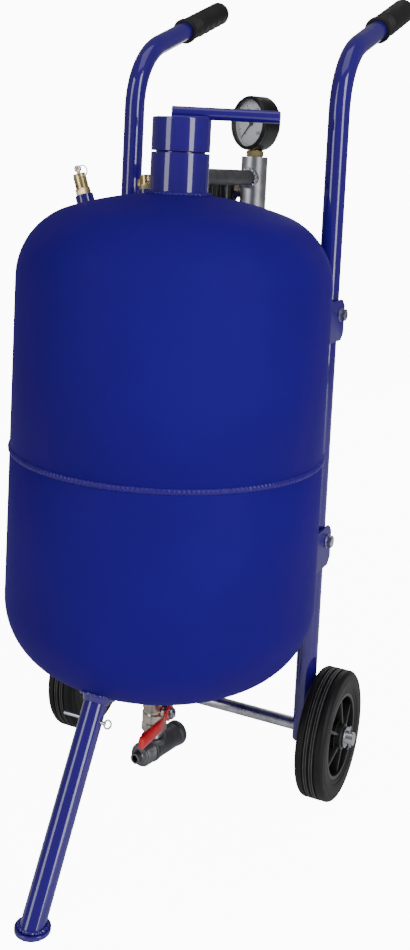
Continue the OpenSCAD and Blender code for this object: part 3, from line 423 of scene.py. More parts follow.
def show(name, mesh, finish, body, stands_for=(), sharp=38):
    mesh.shade_smooth()
    mesh.set_sharp_from_angle(angle=math.radians(sharp))
    mesh.materials.clear()
    mesh.materials.append(finishes[finish].material)
    piece = bpy.data.objects.new(name, mesh)
    bpy.context.scene.collection.objects.link(piece)
    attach(piece, body)
    if stands_for:
        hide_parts(*stands_for)
    print(f"{name}: {len(mesh.polygons)} faces on {body}")


# %% [markdown]
# Parts whose CAD shape is right but whose edges are sharp get a bevelled copy. The CAD mesh
# is loose triangles, so the copy is merged first, and the bevel takes only real edges.

# %% Bevelled copies of CAD nodes
slots = {s["node"]: s["material_slot"] for s in frame["record"]["subparts"]}


def softened(node, width, finish=None, angle=32, segments=2):
    source = frame["nodes"][node]
    bm = bmesh.new()
    bm.from_mesh(source.data)
    bmesh.ops.remove_doubles(bm, verts=bm.verts, dist=2e-6)
    bmesh.ops.dissolve_degenerate(bm, edges=bm.edges, dist=2e-6)
    bmesh.ops.dissolve_limit(bm, angle_limit=math.radians(0.6), verts=bm.verts, edges=bm.edges,
                             delimit={"NORMAL"})
    mesh = bpy.data.meshes.new(node + "_soft")
    bm.to_mesh(mesh)
    bm.free()

    def bevelled(holder):
        bevel = holder.modifiers.new("edges", "BEVEL")
        bevel.width, bevel.segments, bevel.limit_method = width * MM, segments, "ANGLE"
        bevel.angle_limit = math.radians(angle)
        bevel.use_clamp_overlap = True

    own = slots[node]
    show(node + "_eased", baked(mesh, bevelled), finish or own, source["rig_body"], (node,))


bodies = {name: empty["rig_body"] for name, empty in frame["nodes"].items()}
print("bodies:", sorted(set(bodies.values())))

# %% [markdown]
# ## Copies and welds by Geometry Nodes
# A rule says what a repeat is better than a list of copies does. `Recipe` is a bench for a
# geometry tree with named inputs. Each tree ends in Realize Instances and Set Material, and
# `cook` turns its result into a plain mesh and takes the modifier away.

# %% The recipe class
class Recipe(Bench):
    def __init__(self, name, **inputs):
        super().__init__(bpy.data.node_groups.new(name, "GeometryNodeTree"))
        face = self.tree.interface
        face.new_socket("Geometry", in_out="INPUT", socket_type="NodeSocketGeometry")
        for label, value in inputs.items():
            kind = "NodeSocketInt" if isinstance(value, int) else "NodeSocketFloat"
            face.new_socket(label, in_out="INPUT", socket_type=kind).default_value = value
        face.new_socket("Geometry", in_out="OUTPUT", socket_type="NodeSocketGeometry")
        self.entry = self.tree.nodes.new("NodeGroupInput")

    def given(self, label):
        return Wire(self, self.entry.outputs[label])

    def serve(self, geometry, finish):
        real = self.add("GeometryNodeRealizeInstances", {}, {"Geometry": geometry})
        coat = finishes[finish].material
        dressed = self.add("GeometryNodeSetMaterial", {}, {"Geometry": real, "Material": coat})
        self.feed(self.tree.nodes.new("NodeGroupOutput").inputs["Geometry"], dressed)

    def cook(self, start=None, **values):
        """Runs the tree on a bmesh, or on nothing, and gives back the result as a bmesh."""
        mesh = bpy.data.meshes.new("raw")
        if start:
            start.to_mesh(mesh)
            start.free()

        def with_recipe(stove):
            step = stove.modifiers.new("recipe", "NODES")
            step.node_group = self.tree
            for item in self.tree.interface.items_tree:
                if item.in_out == "INPUT" and item.name in values:
                    step[item.identifier] = values[item.name]

        return as_bmesh(baked(mesh, with_recipe), 1e-5)


# %% [markdown]
# `round_the_axis` sets copies of one shape round Z. `weld_run` is a bead along a circle: a
# welder's hand leaves overlapping crescents, so a sine of the angle, bent by the height,
# lifts the bead, and a little noise keeps it from being perfect.

# %% Two recipes
copier = Recipe("round_the_axis", Count=6, Sweep=360.0)
index = copier.add("GeometryNodeInputIndex")
turn = index * copier.given("Sweep") / copier.given("Count") * (math.pi / 180)
spots = copier.add("GeometryNodePoints", {}, {"Count": copier.given("Count")})
heading = copier.add("ShaderNodeCombineXYZ", {}, {"Z": turn})
copier.serve(copier.add("GeometryNodeInstanceOnPoints", {}, {
    "Points": spots, "Instance": copier.given("Geometry"), "Rotation": heading}), "black_moulding")

welder = Recipe("weld_run", Radius=175.0, Width=5.0, Height=1.8, Ripples=190, Steps=1440, Rough=0.25)
path = welder.add("GeometryNodeCurvePrimitiveCircle", {"mode": "RADIUS"},
                  {"Resolution": welder.given("Steps"), "Radius": welder.given("Radius")})
section = welder.add("GeometryNodeCurvePrimitiveCircle", {"mode": "RADIUS"},
                     {"Resolution": 14, "Radius": 1.0})
squashed = welder.add("GeometryNodeTransform", {}, {"Geometry": section, "Scale": welder.add(
    "ShaderNodeCombineXYZ", {}, {"X": welder.given("Height"), "Y": welder.given("Width") / 2, "Z": 1.0})})
bead = welder.add("GeometryNodeCurveToMesh", {}, {"Curve": path, "Profile Curve": squashed})
spot = welder.add("GeometryNodeInputPosition")
split = welder.tree.nodes.new("ShaderNodeSeparateXYZ")
welder.feed(split.inputs[0], spot)
x, y, z = (Wire(welder, s) for s in split.outputs)
around = y.maths("ARCTAN2", y, x)
across = z / welder.given("Width")
crescent = (around * welder.given("Ripples") + across * across * 7.0).sine()
grit = welder.add("ShaderNodeTexNoise", {}, {"Vector": spot, "Scale": 0.35, "Detail": 3.0})
lift = crescent * 0.22 + (grit - 0.5) * welder.given("Rough") * 4.0
outward = welder.add("GeometryNodeInputNormal")
push = welder.add("ShaderNodeVectorMath", {"operation": "SCALE"},
                  {0: outward, "Scale": lift * welder.given("Height") * 0.6})
welder.serve(welder.add("GeometryNodeSetPosition", {}, {"Geometry": bead, "Offset": push}), "blue_paint")
print("recipes:", copier.tree.name, welder.tree.name)

# %% [markdown]
# Nuts and hexagon ends: the flats come from the distance of a hexagon's side at each angle,
# and the corners are turned away at the ends, which leaves the curved edge of a real nut.

# %% Hexagon stock, threads and bent wire
def hexagon(across_flats, height, bore=0.0, steps=96):
    """A length of hexagon stock with its corners turned away at both ends."""
    half = across_flats / 2
    bm = bmesh.new()
    columns = []
    for i in range(steps):
        a = 2 * math.pi * i / steps
        reach = half / math.cos((a + math.pi / 6) % (math.pi / 3) - math.pi / 6)
        drop = max(0.0, reach - half * 0.99) * 0.55 + 0.15
        inner = max(bore / 2, 0.01)
        line = [(inner, 0), (half * 0.96, 0), (reach, drop), (reach, height - drop),
                (half * 0.96, height), (inner, height)]
        columns.append([bm.verts.new((r * math.cos(a), r * math.sin(a), z)) for r, z in line])
    for i in range(steps):
        one, two = columns[i], columns[(i + 1) % steps]
        for j in range(6):
            k = (j + 1) % 6
            bm.faces.new((one[j], two[j], two[k], one[k]))
    bmesh.ops.recalc_face_normals(bm, faces=bm.faces)
    return bm


def threaded(radius, depth, pitch, low, high, bore, segments=72):
    """A threaded rod or tube: a triangular wave that climbs one pitch each turn."""
    steps = max(2, int((high - low) / pitch * 6))
    rise = [(radius, low + (high - low) * i / steps) for i in range(steps + 1)]
    outline = [(bore, low), *rise, (bore, high)]

    def wave(a, r, z):
        if r < radius - 1e-6:
            return r, z
        fade = min(1.0, (z - low) / pitch, (high - z) / pitch)
        phase = (z / pitch - a / (2 * math.pi)) % 1.0
        return r - depth * (abs(2 * phase - 1) * fade + (1 - fade)), z
    return spun(outline, segments, wave)


def wire(points, radius, sides=12, resolution=8):
    """Round wire along a smooth line through the points, as a bmesh in mm."""
    data = bpy.data.curves.new("wire", "CURVE")
    data.dimensions = "3D"
    data.bevel_depth, data.bevel_resolution, data.resolution_u = radius, sides // 4, resolution
    data.use_fill_caps = True
    line = data.splines.new("NURBS")
    line.points.add(len(points) - 1)
    for p, co in zip(line.points, points):
        p.co = (*co, 1.0)
    line.order_u, line.use_endpoint_u = min(4, len(points)), True
    return as_bmesh(baked(data), 1e-4)


def ring(radius, gauge, segments=48):
    return spun([(radius + gauge / 2 * math.cos(math.radians(t)), gauge / 2 * math.sin(math.radians(t)))
                 for t in range(0, 360, 30)], segments)


def block(x0, x1, y0, y1, z0, z1, bevel=0.4):
    bm = bmesh.new()
    bmesh.ops.create_cube(bm, size=1.0)
    middle = at((x0 + x1) / 2, (y0 + y1) / 2, (z0 + z1) / 2)
    bm.transform(middle @ Matrix.Diagonal((x1 - x0, y1 - y0, z1 - z0, 1)))
    bmesh.ops.bevel(bm, geom=bm.edges[:], offset=bevel, segments=3, affect="EDGES", profile=0.7)
    return bm


def repeated(bm, count):
    """Copies of a shape set evenly round Z."""
    return copier.cook(bm, Count=count)


def weld(radius, width, height, ripples, steps=240, rough=0.25):
    """A bead along a circle round Z, with as many ripples as steps can carry."""
    return welder.cook(Radius=radius, Width=width, Height=height, Ripples=ripples, Steps=steps, Rough=rough)


def gas_thread(low, high, bore):
    """The outside thread of the small air fittings."""
    return threaded(6.4, 0.5, 1.3, low, high, bore)


print("stock: hexagons, threads, wire, rings, blocks")

# %% [markdown]
# ## Tank
# Two dished shells are pressed from plate and welded round the girth. Each is one turned
# outline: straight side, knuckle arc and crown arc, whose centres lie on one line so that the
# arcs run into each other without a crease.

# %% Tank shells
TANK_R, WALL = 175.0, 3.0
KNUCKLE, KNUCKLE_C, CROWN = 81.4, 93.6, 370.0
LOW_TANGENT, SEAM, TOP_TANGENT = 261.0, 427.0, 616.0
CROWN_DROP = 273.0
TANK_TOP = TOP_TANGENT + CROWN - CROWN_DROP
EDGE = math.degrees(math.atan2(CROWN_DROP, KNUCKLE_C))


def dished(opening, length, taper):
    """A shell standing on its tangent plane: outside up to the opening, back down inside."""
    outline = [(TANK_R, -length), *arc((KNUCKLE_C, 0), KNUCKLE, 0, EDGE, 28)]
    outline += arc((0, -CROWN_DROP), CROWN, EDGE, math.degrees(math.acos(opening / CROWN)), 26)[1:]
    inner = CROWN - WALL
    outline += arc((0, -CROWN_DROP), inner, math.degrees(math.acos(opening / inner)), EDGE, 14)
    outline += arc((KNUCKLE_C, 0), KNUCKLE - WALL, EDGE, 0, 14)[1:] + [(TANK_R - WALL, -length)]
    outline[0:1] = [(TANK_R - taper, -length), (TANK_R, -length + 1.6 * taper), (TANK_R, -length / 2)]
    return outline


settle("shell_upper", [(spun(dished(32.0, TOP_TANGENT - SEAM - 0.8, 1.0), 256), at(0, 0, TOP_TANGENT))],
       "shell_enamel", ["upper_shell"])
settle("shell_lower", [(spun(dished(16.5, SEAM - LOW_TANGENT - 0.8, 1.0), 256),
                        at(0, 0, LOW_TANGENT) @ Matrix.Scale(-1, 4, (0, 0, 1)))],
       "shell_enamel", ["lower_shell"])

# %% [markdown]
# The girth weld sits proud of the plate. A second, smaller run joins the neck to the crown.

# %% Weld beads
NECK_WELD_R = 34.0
neck_foot = TANK_TOP - CROWN + math.sqrt(CROWN ** 2 - NECK_WELD_R ** 2)
settle("girth_weld", [(weld(TANK_R - 0.5, 6.6, 2.1, 230, 1440), at(0, 0, SEAM)),
                      (weld(33.6, 5.0, 2.6, 46, 420), at(0, 0, neck_foot + 0.6))],
       "seam_paint", ["weld_beads"], sharp=70)

# %% [markdown]
# ## Filler neck and cap
# The neck is a heavy turned tube with a threaded spigot that shows only when the cap is off.
# The cap is as wide as the neck, so that a thin dark line is all that parts them.

# %% Neck, spigot and bungs
NECK_R, NECK_Z, SPIGOT_R, BORE_R = 32.5, 757.0, 28.5, 24.5
CAP_THREAD, CAP_PITCH = 0.9, 2.309
neck = lathe([(BORE_R, 699), (NECK_R, 699), (NECK_R, NECK_Z, 0.8), (SPIGOT_R - 1.2, NECK_Z),
              (SPIGOT_R - 1.2, NECK_Z + 3), (BORE_R, NECK_Z + 3)], 0.3, 128)
spigot = threaded(SPIGOT_R, CAP_THREAD, CAP_PITCH, NECK_Z + 2.5, NECK_Z + 29, BORE_R, 96)
settle("filler_neck", [(neck, at()), (spigot, at())], "blue_paint", ["fill_neck"])


def on_crown(direction, radius, rise=0.0):
    """A placement on the upper head, +Z along the plate's normal."""
    return (at(0, 0, TANK_TOP - CROWN) @ turned(direction, "Z")
            @ turned(math.degrees(math.asin(radius / CROWN)), "Y") @ at(0, 0, CROWN + rise))


SAFETY = (180.0, 118.0)
VENT = (140.0, 94.0)
boss = [(6.5, -6), (10.5, -6), (10.5, 9.2), (10.5, 11, 0.9), (6.5, 11, 0.5)]
boss_parts = []
for spot in (SAFETY, VENT):
    boss_parts.append((lathe(boss, 0.3, 64), on_crown(*spot)))
    boss_parts.append((weld(10.9, 3.2, 1.9, 17, 150), on_crown(*spot, 0.2)))
settle("top_bosses", boss_parts, "blue_paint", ["bungs"])
low_boss = lathe([(10.5, 156), (17, 156, 1.0), (17, 172), (10.5, 172)], 0.4, 72)
settle("outlet_boss", [(low_boss, at()), (weld(17.2, 4.0, 2.0, 26), at(0, 0, 164))],
       "blue_paint", ["outlet_bung"])

# %% [markdown]
# The cap is one turned cup. Its bar is solid rod, cut square, with its ends dressed round,
# lying on the cap and welded along both sides.

# %% Cap, bar and seal
CAP_LOW, CAP_TOP = 758.5, 795.5
BAR_TURN, BAR_RISE = 28, 5.5
cup = lathe([(0, CAP_TOP), (NECK_R, CAP_TOP, 1.6), (NECK_R, CAP_LOW, 0.8), (28.9, CAP_LOW, 0.6),
             (28.9, 789), (0, 789)], 0.3, 128)
rod = lathe([(0, -12), (7, -12, 1.5), (7, 108, 1.5), (0, 108)], 0.3, 48)
BAR = at(0, 0, CAP_TOP + BAR_RISE) @ turned(BAR_TURN, "Z") @ turned(90, "Y")
fillets = []
for side in (-1, 1):
    random.seed(7 + side)
    bead_line = [(x, side * (5.4 + 0.25 * random.uniform(-1, 1)), 0.6) for x in range(-11, 31, 2)]
    fillets.append((wire(bead_line, 1.9, 12), at(0, 0, CAP_TOP) @ turned(BAR_TURN, "Z")))
settle("screw_cap", [(cup, at())], "blue_paint", ["filler_cap"], "cap")
settle("cap_bar", [(rod, BAR), *fillets], "blue_paint", ["cap_handle"], "cap")
seal = lathe([(24.5, 786), (28.2, 786), (28.2, 789), (24.5, 789)], 0.4, 96)
settle("cap_seal_ring", [(seal, at())], "black_rubber", ["cap_gasket"], "cap_seal")

# %% [markdown]
# ## Handle frame
# The two bent tubes keep their CAD shape and take the gloss enamel. The grips are moulded
# rubber: ridges all round near the open end, and a wave of finger rests along the underside.

# %% Tubes and grips
GAUGE_X, HANDLE_Y = 134.5, 134.2
BEND_R, BEND_Z, BEND = 90.0, 812.0, 70.0
GRIP_LEN, GRIP_R, TUBE_R = 120.0, 15.5, 12.5
TUBE_STRAIGHT, GRIP_END = 188, 5
REST_LOW, REST_HIGH, REST_PITCH = 30, 108, 19.0


def paint_node(node, finish):
    piece = frame["nodes"][node]
    piece.data.materials.clear()
    piece.data.materials.append(finishes[finish].material)


for node in ("handle_tube_left", "handle_tube_right", "front_leg"):
    paint_node(node, "blue_paint")


def grip_outline():
    line = [(TUBE_R + 0.05, 0), (GRIP_R + 1.4, 0, 1.0), (GRIP_R + 1.4, 5, 1.0), (GRIP_R, 6.2)]
    for i in range(5):
        z = 9 + 4.6 * i
        line += [(GRIP_R, z), (GRIP_R - 0.9, z + 0.8), (GRIP_R - 0.9, z + 1.9), (GRIP_R, z + 2.7)]
    line += [(GRIP_R, 33 + 2.0 * i) for i in range(38)]
    line += arc((GRIP_R - 7, GRIP_LEN - 7), 7, 0, 90, 8)
    line += [(0, GRIP_LEN), (0, GRIP_LEN - GRIP_END), (TUBE_R + 0.05, GRIP_LEN - GRIP_END)]
    return eased(line, 0.3, arcs=2)


def finger_rests(a, r, z):
    if r < TUBE_R + 1 or z < REST_LOW or z > GRIP_LEN - 6:
        return r, z
    under = max(0.0, math.cos(a - math.pi / 2)) ** 1.5
    wave = 0.5 - 0.5 * math.cos(2 * math.pi * (z - REST_LOW) / REST_PITCH)
    hollow = 2.4 * (1 - wave) if REST_LOW < z < REST_HIGH else 0.0
    return r - under * hollow + under * 1.1 * wave, z


tube_end = at(0, BEND_R, BEND_Z) @ turned(-BEND, "X") @ at(0, -BEND_R, TUBE_STRAIGHT + GRIP_END - GRIP_LEN)
right_grip = at(GAUGE_X, HANDLE_Y, 0) @ tube_end
MIRROR = Matrix.Scale(-1, 4, (1, 0, 0))
settle("rubber_grips", [(spun(grip_outline(), 72, finger_rests), right_grip),
                        (spun(grip_outline(), 72, finger_rests), MIRROR @ right_grip)],
       "black_rubber", ["grips"], sharp=50)

# %% [markdown]
# The clamps keep their folded shape with eased edges. Their bolts are the same fastener four
# times over, a hexagon head on its washers, so a loop draws it at each place.

# %% Brackets and bolts
softened("tube_brackets", 0.7, "seam_paint")
softened("manifold_bracket", 0.8, "seam_paint")
BRACKET_ZS = (572.0, 301.0)
HALF = 15.8
bolts = []
for side in (1, -1):
    for z in BRACKET_ZS:
        head = at(side * (GAUGE_X + HALF), HANDLE_Y, z + 7) @ turned(90 * side, "Y")
        bolts.append((lathe([(4.1, 0), (8, 0), (8, 1.5), (4.1, 1.5)], 0.3, 48), head))
        bolts.append((lathe([(4.1, 1.5), (6.6, 1.5), (6.6, 2.6), (4.1, 2.6)], 0.3, 48), head))
        bolts.append((hexagon(13, 5.5), head @ at(0, 0, 1.7)))
        bolts.append((threaded(3.9, 0.35, 1.25, -2 * HALF - 3.5, 1.0, 0.01, 36), head))
        bolts.append((lathe([(0, 6.4), (4.6, 6.4), (4.6, 7.5), (0, 7.5)], 0.3, 36), head))
settle("clamp_bolts", bolts, "zinc_plate", ["bracket_bolts"])

# %% [markdown]
# ## Wheels
# A solid tyre on a moulded rim. The tread has three fine grooves round it and raised hair lines
# between them, coloured pale grey as a painted highlight, the shoulders are round, and the
# sidewall carries two faint rings. The rim is a band, a web and a hub joined by tapered ribs,
# which the polar recipe sets round the hub.

# %% Wheels
WHEEL_R, WHEEL_W, RIM_R, TYRE_IN, WHEEL_Z = 75.0, 35.0, 50.0, 149.9, 75.0


def tread_radius(z):
    """The tread is a little crowned: highest in the middle of its width."""
    return WHEEL_R - 0.004 * (z - WHEEL_W / 2) ** 2


def tyre_outline():
    wall = [(RIM_R, 2.2), (RIM_R + 2, 1.2), (RIM_R + 5, 1.2), (RIM_R + 5.6, 0.5), (RIM_R + 6.6, 0.5),
            (RIM_R + 7.2, 0.2), (66, 0), (67, 0.4), (68, 0)]
    line = wall + arc((WHEEL_R - 6, 6), 6, -90, -4, 10)[1:]
    for i in (-1, 0, 1):
        z = WHEEL_W / 2 + i * WHEEL_W / 5
        side = ((0, -1.2), (0.35, -0.75), (1.7, -0.5), (1.7, 0.5), (0.35, 0.75), (0, 1.2))
        line += [(tread_radius(z) - deep, z + across) for deep, across in side]
    line += arc((WHEEL_R - 6, WHEEL_W - 6), 6, 4, 90, 10)
    return line + [(r, WHEEL_W - z) for r, z in reversed(wall)]


def rim_shapes(place):
    outer_lip, mid = WHEEL_W - 2.0, WHEEL_W / 2
    line = [(7.55, -0.4), (12.5, -0.4), (15, 1.2), (15.6, mid - 3), (44.6, mid - 3), (45.4, 2), (49.9, 2),
            (49.9, outer_lip), (45.4, outer_lip),
            (44.6, mid + 3), (15.6, mid + 3), (15, 35.9), (12.5, 37.1), (7.55, 37.1)]
    body = lathe(line, 1.0, 120)
    rib = bmesh.new()
    for face in (1, -1):
        corners = []
        for x, top in ((13.5, 14.6), (45.8, 10.6)):
            for half, z in ((2.9, 0.0), (1.9, top)):
                corners.append([rib.verts.new((x, s * half, mid + face * (2.5 + z))) for s in (-1, 1)])
        (a, b), (c, d), (e, f), (g, h) = corners
        for quad in ((a, b, d, c), (e, g, h, f), (a, c, g, e), (b, f, h, d), (c, d, h, g), (a, e, f, b)):
            rib.faces.new(quad)
    bmesh.ops.recalc_face_normals(rib, faces=rib.faces)
    bmesh.ops.bevel(rib, geom=rib.edges[:], offset=0.7, segments=3, affect="EDGES", profile=0.6)
    collar = lathe([(15, 30.5), (20.5, 30.5), (17.5, mid + 3), (15, mid + 3)], 0.5, 96)
    return [(body, place), (repeated(rib, 6), place), (collar, place)]


def tread_lines():
    """The raised hair lines that the mould leaves round the tread, coloured pale grey as a painted
    highlight of the sheen they catch.
    """
    lines = []
    for z in (5.4, 8.6, 12.4, 15.3, 19.7, 22.6, 26.4, 29.6):
        top = min(WHEEL_R, tread_radius(z) + 0.12)
        ridge = [(top - 0.4, z - 0.3), (top, z - 0.18), (top, z + 0.18), (top - 0.4, z + 0.3)]
        lines.append(spun(ridge, 192))
    return lines


wheel_at = at(TYRE_IN, HANDLE_Y, WHEEL_Z) @ turned(90, "Y")
for label, place in (("right", wheel_at), ("left", MIRROR @ wheel_at)):
    settle("tyre_" + label + "_moulded", [(spun(tyre_outline(), 192), place)], "tyre_rubber",
           ["tyre_" + label], "wheel_" + label, sharp=34)
    # the hair lines are coloured pale grey as a painted highlight
    settle("tread_lines_" + label, [(line, place) for line in tread_lines()], "worn_rubber",
           body="wheel_" + label)
    settle("rim_" + label + "_moulded", rim_shapes(place), "black_moulding", ["rim_" + label],
           "wheel_" + label)

# %% [markdown]
# The axle is bright drawn bar. Washers space the wheels, and a split pin through the bar keeps
# each on: a loop above, two legs below, bent apart.

# %% Axle, washers and split pins
softened("axle", 0.8)
washers, pins = [], []
COTTER_X = 193.3
for side in (1, -1):
    for x, outer in ((147.0, 14.0), (187.5, 12.0)):
        washers.append((lathe([(7.6, 0), (outer, 0), (outer, 2), (7.6, 2)], 0.45, 72),
                        at(side * x, HANDLE_Y, WHEEL_Z) @ turned(90 * side, "Y")))
    for leg in (-1, 1):
        line = [(leg * 0.3, 0.75 * leg, 9.6), (leg * 0.3, 0.75 * leg, 6), (leg * 0.2, 0.72 * leg, 0),
                (leg * 0.2, 0.72 * leg, -8.2),
                (0, 1.6 * leg, -10.2), (0, 4.2 * leg, -12.0 - leg), (0, 6.4 * leg, -12.2 - 1.5 * leg)]
        pins.append((wire(line, 0.75, 10), at(side * COTTER_X, HANDLE_Y, WHEEL_Z)))
    eye = [(0, y, 11.6 + z) for y, z in arc((0, 0), 2.7, -75, 255, 11)]
    pins.append((wire(eye, 0.75, 10), at(side * COTTER_X, HANDLE_Y, WHEEL_Z)))
settle("axle_spacers", washers, "zinc_plate", ["axle_washers"])
settle("split_pins", pins, "zinc_plate", ["cotter_pins"])

# %% [markdown]
# ## Front leg
# The leg slides over a spigot under a flared collar. The foot is a dished disc with a raised
# rim, welded on, and the locking pin has a ring to pull it by.

# %% Leg, foot and locking pin
LEG_TILT = 30.0
along_leg = at(0, -KNUCKLE_C, LOW_TANGENT) @ turned(180 - LEG_TILT, "X")
collar = lathe([(8.0, KNUCKLE - 2.2), (17.4, KNUCKLE - 2.2, 1.5), (15.2, KNUCKLE + 1.5),
                (13.4, KNUCKLE + 6.2, 0.8), (8.0, KNUCKLE + 6.2)], 0.8, 96)
stub = lathe([(0, KNUCKLE + 5), (10.4, KNUCKLE + 5), (10.4, KNUCKLE + 38, 1.0), (0, KNUCKLE + 38)], 0.3, 48)
settle("leg_collar", [(collar, along_leg), (stub, along_leg),
                      (weld(17.0, 3.6, 2.0, 26), along_leg @ at(0, 0, KNUCKLE - 0.8))],
       "blue_paint", ["leg_socket"])
foot_low, foot_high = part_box("foot_plate")
FOOT_Y = ((foot_low.y + foot_high.y) / 2 - AXIS_Y) / MM
pad = lathe([(0, 0.6), (14, 0.6), (15.5, 0), (18, 0, 1.2), (18, 5, 1.6), (15.6, 5, 1.0), (14.6, 3.6),
             (0, 3.6)], 0.5, 96)
settle("foot_disc", [(pad, at(0, FOOT_Y, 0)),
                     (weld(13.6, 4.4, 2.2, 22, 200), at(0, FOOT_Y + 1.0, 4.4) @ turned(-6, "X"))],
       "blue_paint", ["foot_plate"])
pin_place = along_leg @ at(0, 0, KNUCKLE + 23)
shaft = lathe([(0, -32), (1.9, -32, 1.2), (1.9, 17.5), (0, 17.5)], 0.3, 32)
settle("lock_pin", [(shaft, pin_place @ turned(90, "Y")),
                    (ring(4.0, 2.1), pin_place @ at(20, 0, 0) @ turned(90, "X"))],
       "zinc_plate", ["leg_pin"], "locking_pin")

# %% [markdown]
# ## Air manifold
# Air comes in through the separator, crosses a steel tube that stands beside the neck, and
# goes into the neck by a dark pipe. Both ends of that pipe carry a bright, bare weld.

# %% Manifold, cross pipe and outlet
MAN_Y, MAN_LOW, MAN_TOP, PIPE_Z, PORT_Z = 210.0, 568.0, 758.0, 731.5, 714.0
softened("manifold_tube", 2.4, "manifold_steel", angle=50, segments=3)
softened("cross_pipe", 0.5, "dark_pipe")
blobs = []
for y, wide, tilt in ((MAN_Y - 16.4, 6.5, 3), (MAN_Y - 20.4, 4.2, -4), (34.6, 5.0, 2)):
    blobs.append((weld(10.2, wide, 2.6, 15, 170, rough=0.4),
                  at(0, y, PIPE_Z) @ turned(-90 + tilt, "X")))
settle("pipe_welds", blobs, "zinc_plate", sharp=70)
tail = [(3.75, 0), (5.7, 0), (6.5, 4.6, 0.5), (6.5, 5.6), (5.7, 6.2), (6.5, 10.8, 0.5), (6.5, 11.8),
        (5.7, 12.4), (6.5, 17, 0.5), (6.5, 18), (6.0, 18.6),
        (6.0, 24.2), (3.75, 24.2)]
settle("air_outlet", [(lathe(tail, 0.2), at(0, MAN_Y, 537.5)), (hexagon(19, 6.5, 7.5), at(0, MAN_Y, 561.5)),
                      (gas_thread(MAN_LOW - 0.2, MAN_LOW + 9.8, 3.75), at(0, MAN_Y, 0))],
       "brass", ["manifold_outlet"])

# %% [markdown]
# ## Pressure gauge
# A black case with a stepped bezel, a white card and a needle at its lower stop. The card's
# marks are drawn by rule: a long line every tenth, short ones between, and a number at
# every second long line.

# %% Gauge case, card and marks
GAUGE_Z, GAUGE_TURN = 800.0, -27
DIAL_START, DIAL_SWEEP, MARKS = 225, 270, 50
CARD_TOP, INK_TOP, MARK_R, NUMERAL_R = 7.5, 7.58, 27.6, 18.0
GAUGE = at(0, MAN_Y, GAUGE_Z) @ turned(GAUGE_TURN, "Z") @ turned(90, "X")
case = lathe([(0, -12.5), (31.5, -12.5, 2.0), (34, -10, 2.5), (34, 9.4, 0.6), (32, 9.4), (32, -10.5),
              (0, -10.5)], 0.4, 128)
settle("case_of_gauge", [(case, GAUGE)], "gauge_black", ["gauge_case"])
lip = [(32, 9.5), (33.9, 9.5), (34.0, 13.2, 1.2), (33.0, 14.0, 0.5), (32.6, 15.5, 0.8), (29.6, 15.5, 0.7),
       (29.0, 13.6), (32, 13.6)]
settle("bezel_of_gauge", [(lathe(lip, 0.3, 128), GAUGE)], "gauge_black", ["gauge_bezel"])
settle("card_of_gauge", [(lathe([(1.7, 6.5), (31.8, 6.5), (31.8, 7.5), (1.7, 7.5)], 0.1, 96), GAUGE)],
       "dial_white", ["gauge_dial"])


def plate(corners, low, high, bevel=0.0):
    """A flat plate: a polygon in (x, y), from one height to another."""
    bm = bmesh.new()
    floor = bm.faces.new([bm.verts.new((x, y, low)) for x, y in corners])
    risen = bmesh.ops.extrude_face_region(bm, geom=[floor])["geom"]
    bmesh.ops.translate(bm, verts=[v for v in risen if isinstance(v, bmesh.types.BMVert)],
                        vec=(0, 0, high - low))
    bmesh.ops.recalc_face_normals(bm, faces=bm.faces)
    if bevel:
        bmesh.ops.bevel(bm, geom=bm.edges[:], offset=bevel, segments=3, affect="EDGES", profile=0.6,
                        clamp_overlap=True)
    return bm


def numeral(word, size):
    """A number as a thin solid, centred on its own middle."""
    text = bpy.data.curves.new("numeral", "FONT")
    text.body, text.size, text.extrude, text.offset = word, size, 0.04, 0.05
    text.align_x, text.align_y = "CENTER", "CENTER"
    return as_bmesh(baked(text))


marks = []
for i in range(MARKS + 1):
    tall, half = ((4.8, 0.42) if i % 5 == 0 else (2.8, 0.22))
    stroke = [(MARK_R - tall, -half), (MARK_R, -half), (MARK_R, half), (MARK_R - tall, half)]
    heading = turned(DIAL_START - DIAL_SWEEP / MARKS * i, "Z")
    marks.append((plate(stroke, CARD_TOP, INK_TOP), GAUGE @ heading))
for i in range(6):
    a = math.radians(DIAL_START - DIAL_SWEEP / 5 * i)
    place = at(NUMERAL_R * math.cos(a), NUMERAL_R * math.sin(a), 7.55)
    marks.append((numeral(str(40 * i), 5.6), GAUGE @ place))
rim_line = lathe([(27.9, CARD_TOP), (28.2, CARD_TOP), (28.2, INK_TOP), (27.9, INK_TOP)], 0, 128)
settle("card_marks", [*marks, (rim_line, GAUGE)], "dial_ink")
needle = [(-8.5, -1.5), (-7, -1.7), (0, -1.15), (24, -0.28), (24, 0.28), (0, 1.15), (-7, 1.7), (-8.5, 1.5)]
settle("needle", [(plate(needle, 8.5, 9.3, 0.08), GAUGE @ turned(DIAL_START, "Z")),
                  (lathe([(0, 8.3), (3.4, 8.3), (3.4, 9.6, 0.5), (0, 9.9)], 0.2, 40), GAUGE),
                  (lathe([(0, 0.6), (1.45, 0.6), (1.45, 8.6), (0, 8.6)], 0.1, 24), GAUGE)],
       "dial_ink", ["gauge_pointer"], "pointer")
settle("window_of_gauge", [(lathe([(0, 11.5), (31.9, 11.5), (31.9, 13.4), (0, 13.5)], 0.1, 96), GAUGE)],
       "gauge_glass", ["gauge_lens"])
settle("stem_of_gauge", [(hexagon(19, 8, 5), at(0, MAN_Y, MAN_TOP)),
                         (lathe([(2.5, 765.8), (6, 765.8), (6, 769.5), (2.5, 769.5)]), at(0, MAN_Y, 0)),
                         (gas_thread(MAN_TOP - 9.8, MAN_TOP + 0.2, 2.5), at(0, MAN_Y, 0)),
                         (block(-6, 6, -31.5, -16, -6, 6), GAUGE)],
       "brass", ["gauge_socket"])
paint_node("bourdon_tube", "brass")

# %% [markdown]
# ## Moisture separator
# The head is a fluted black casting, the bowl is smoked plastic with a felt element inside it,
# and a brass drain cock hangs below.

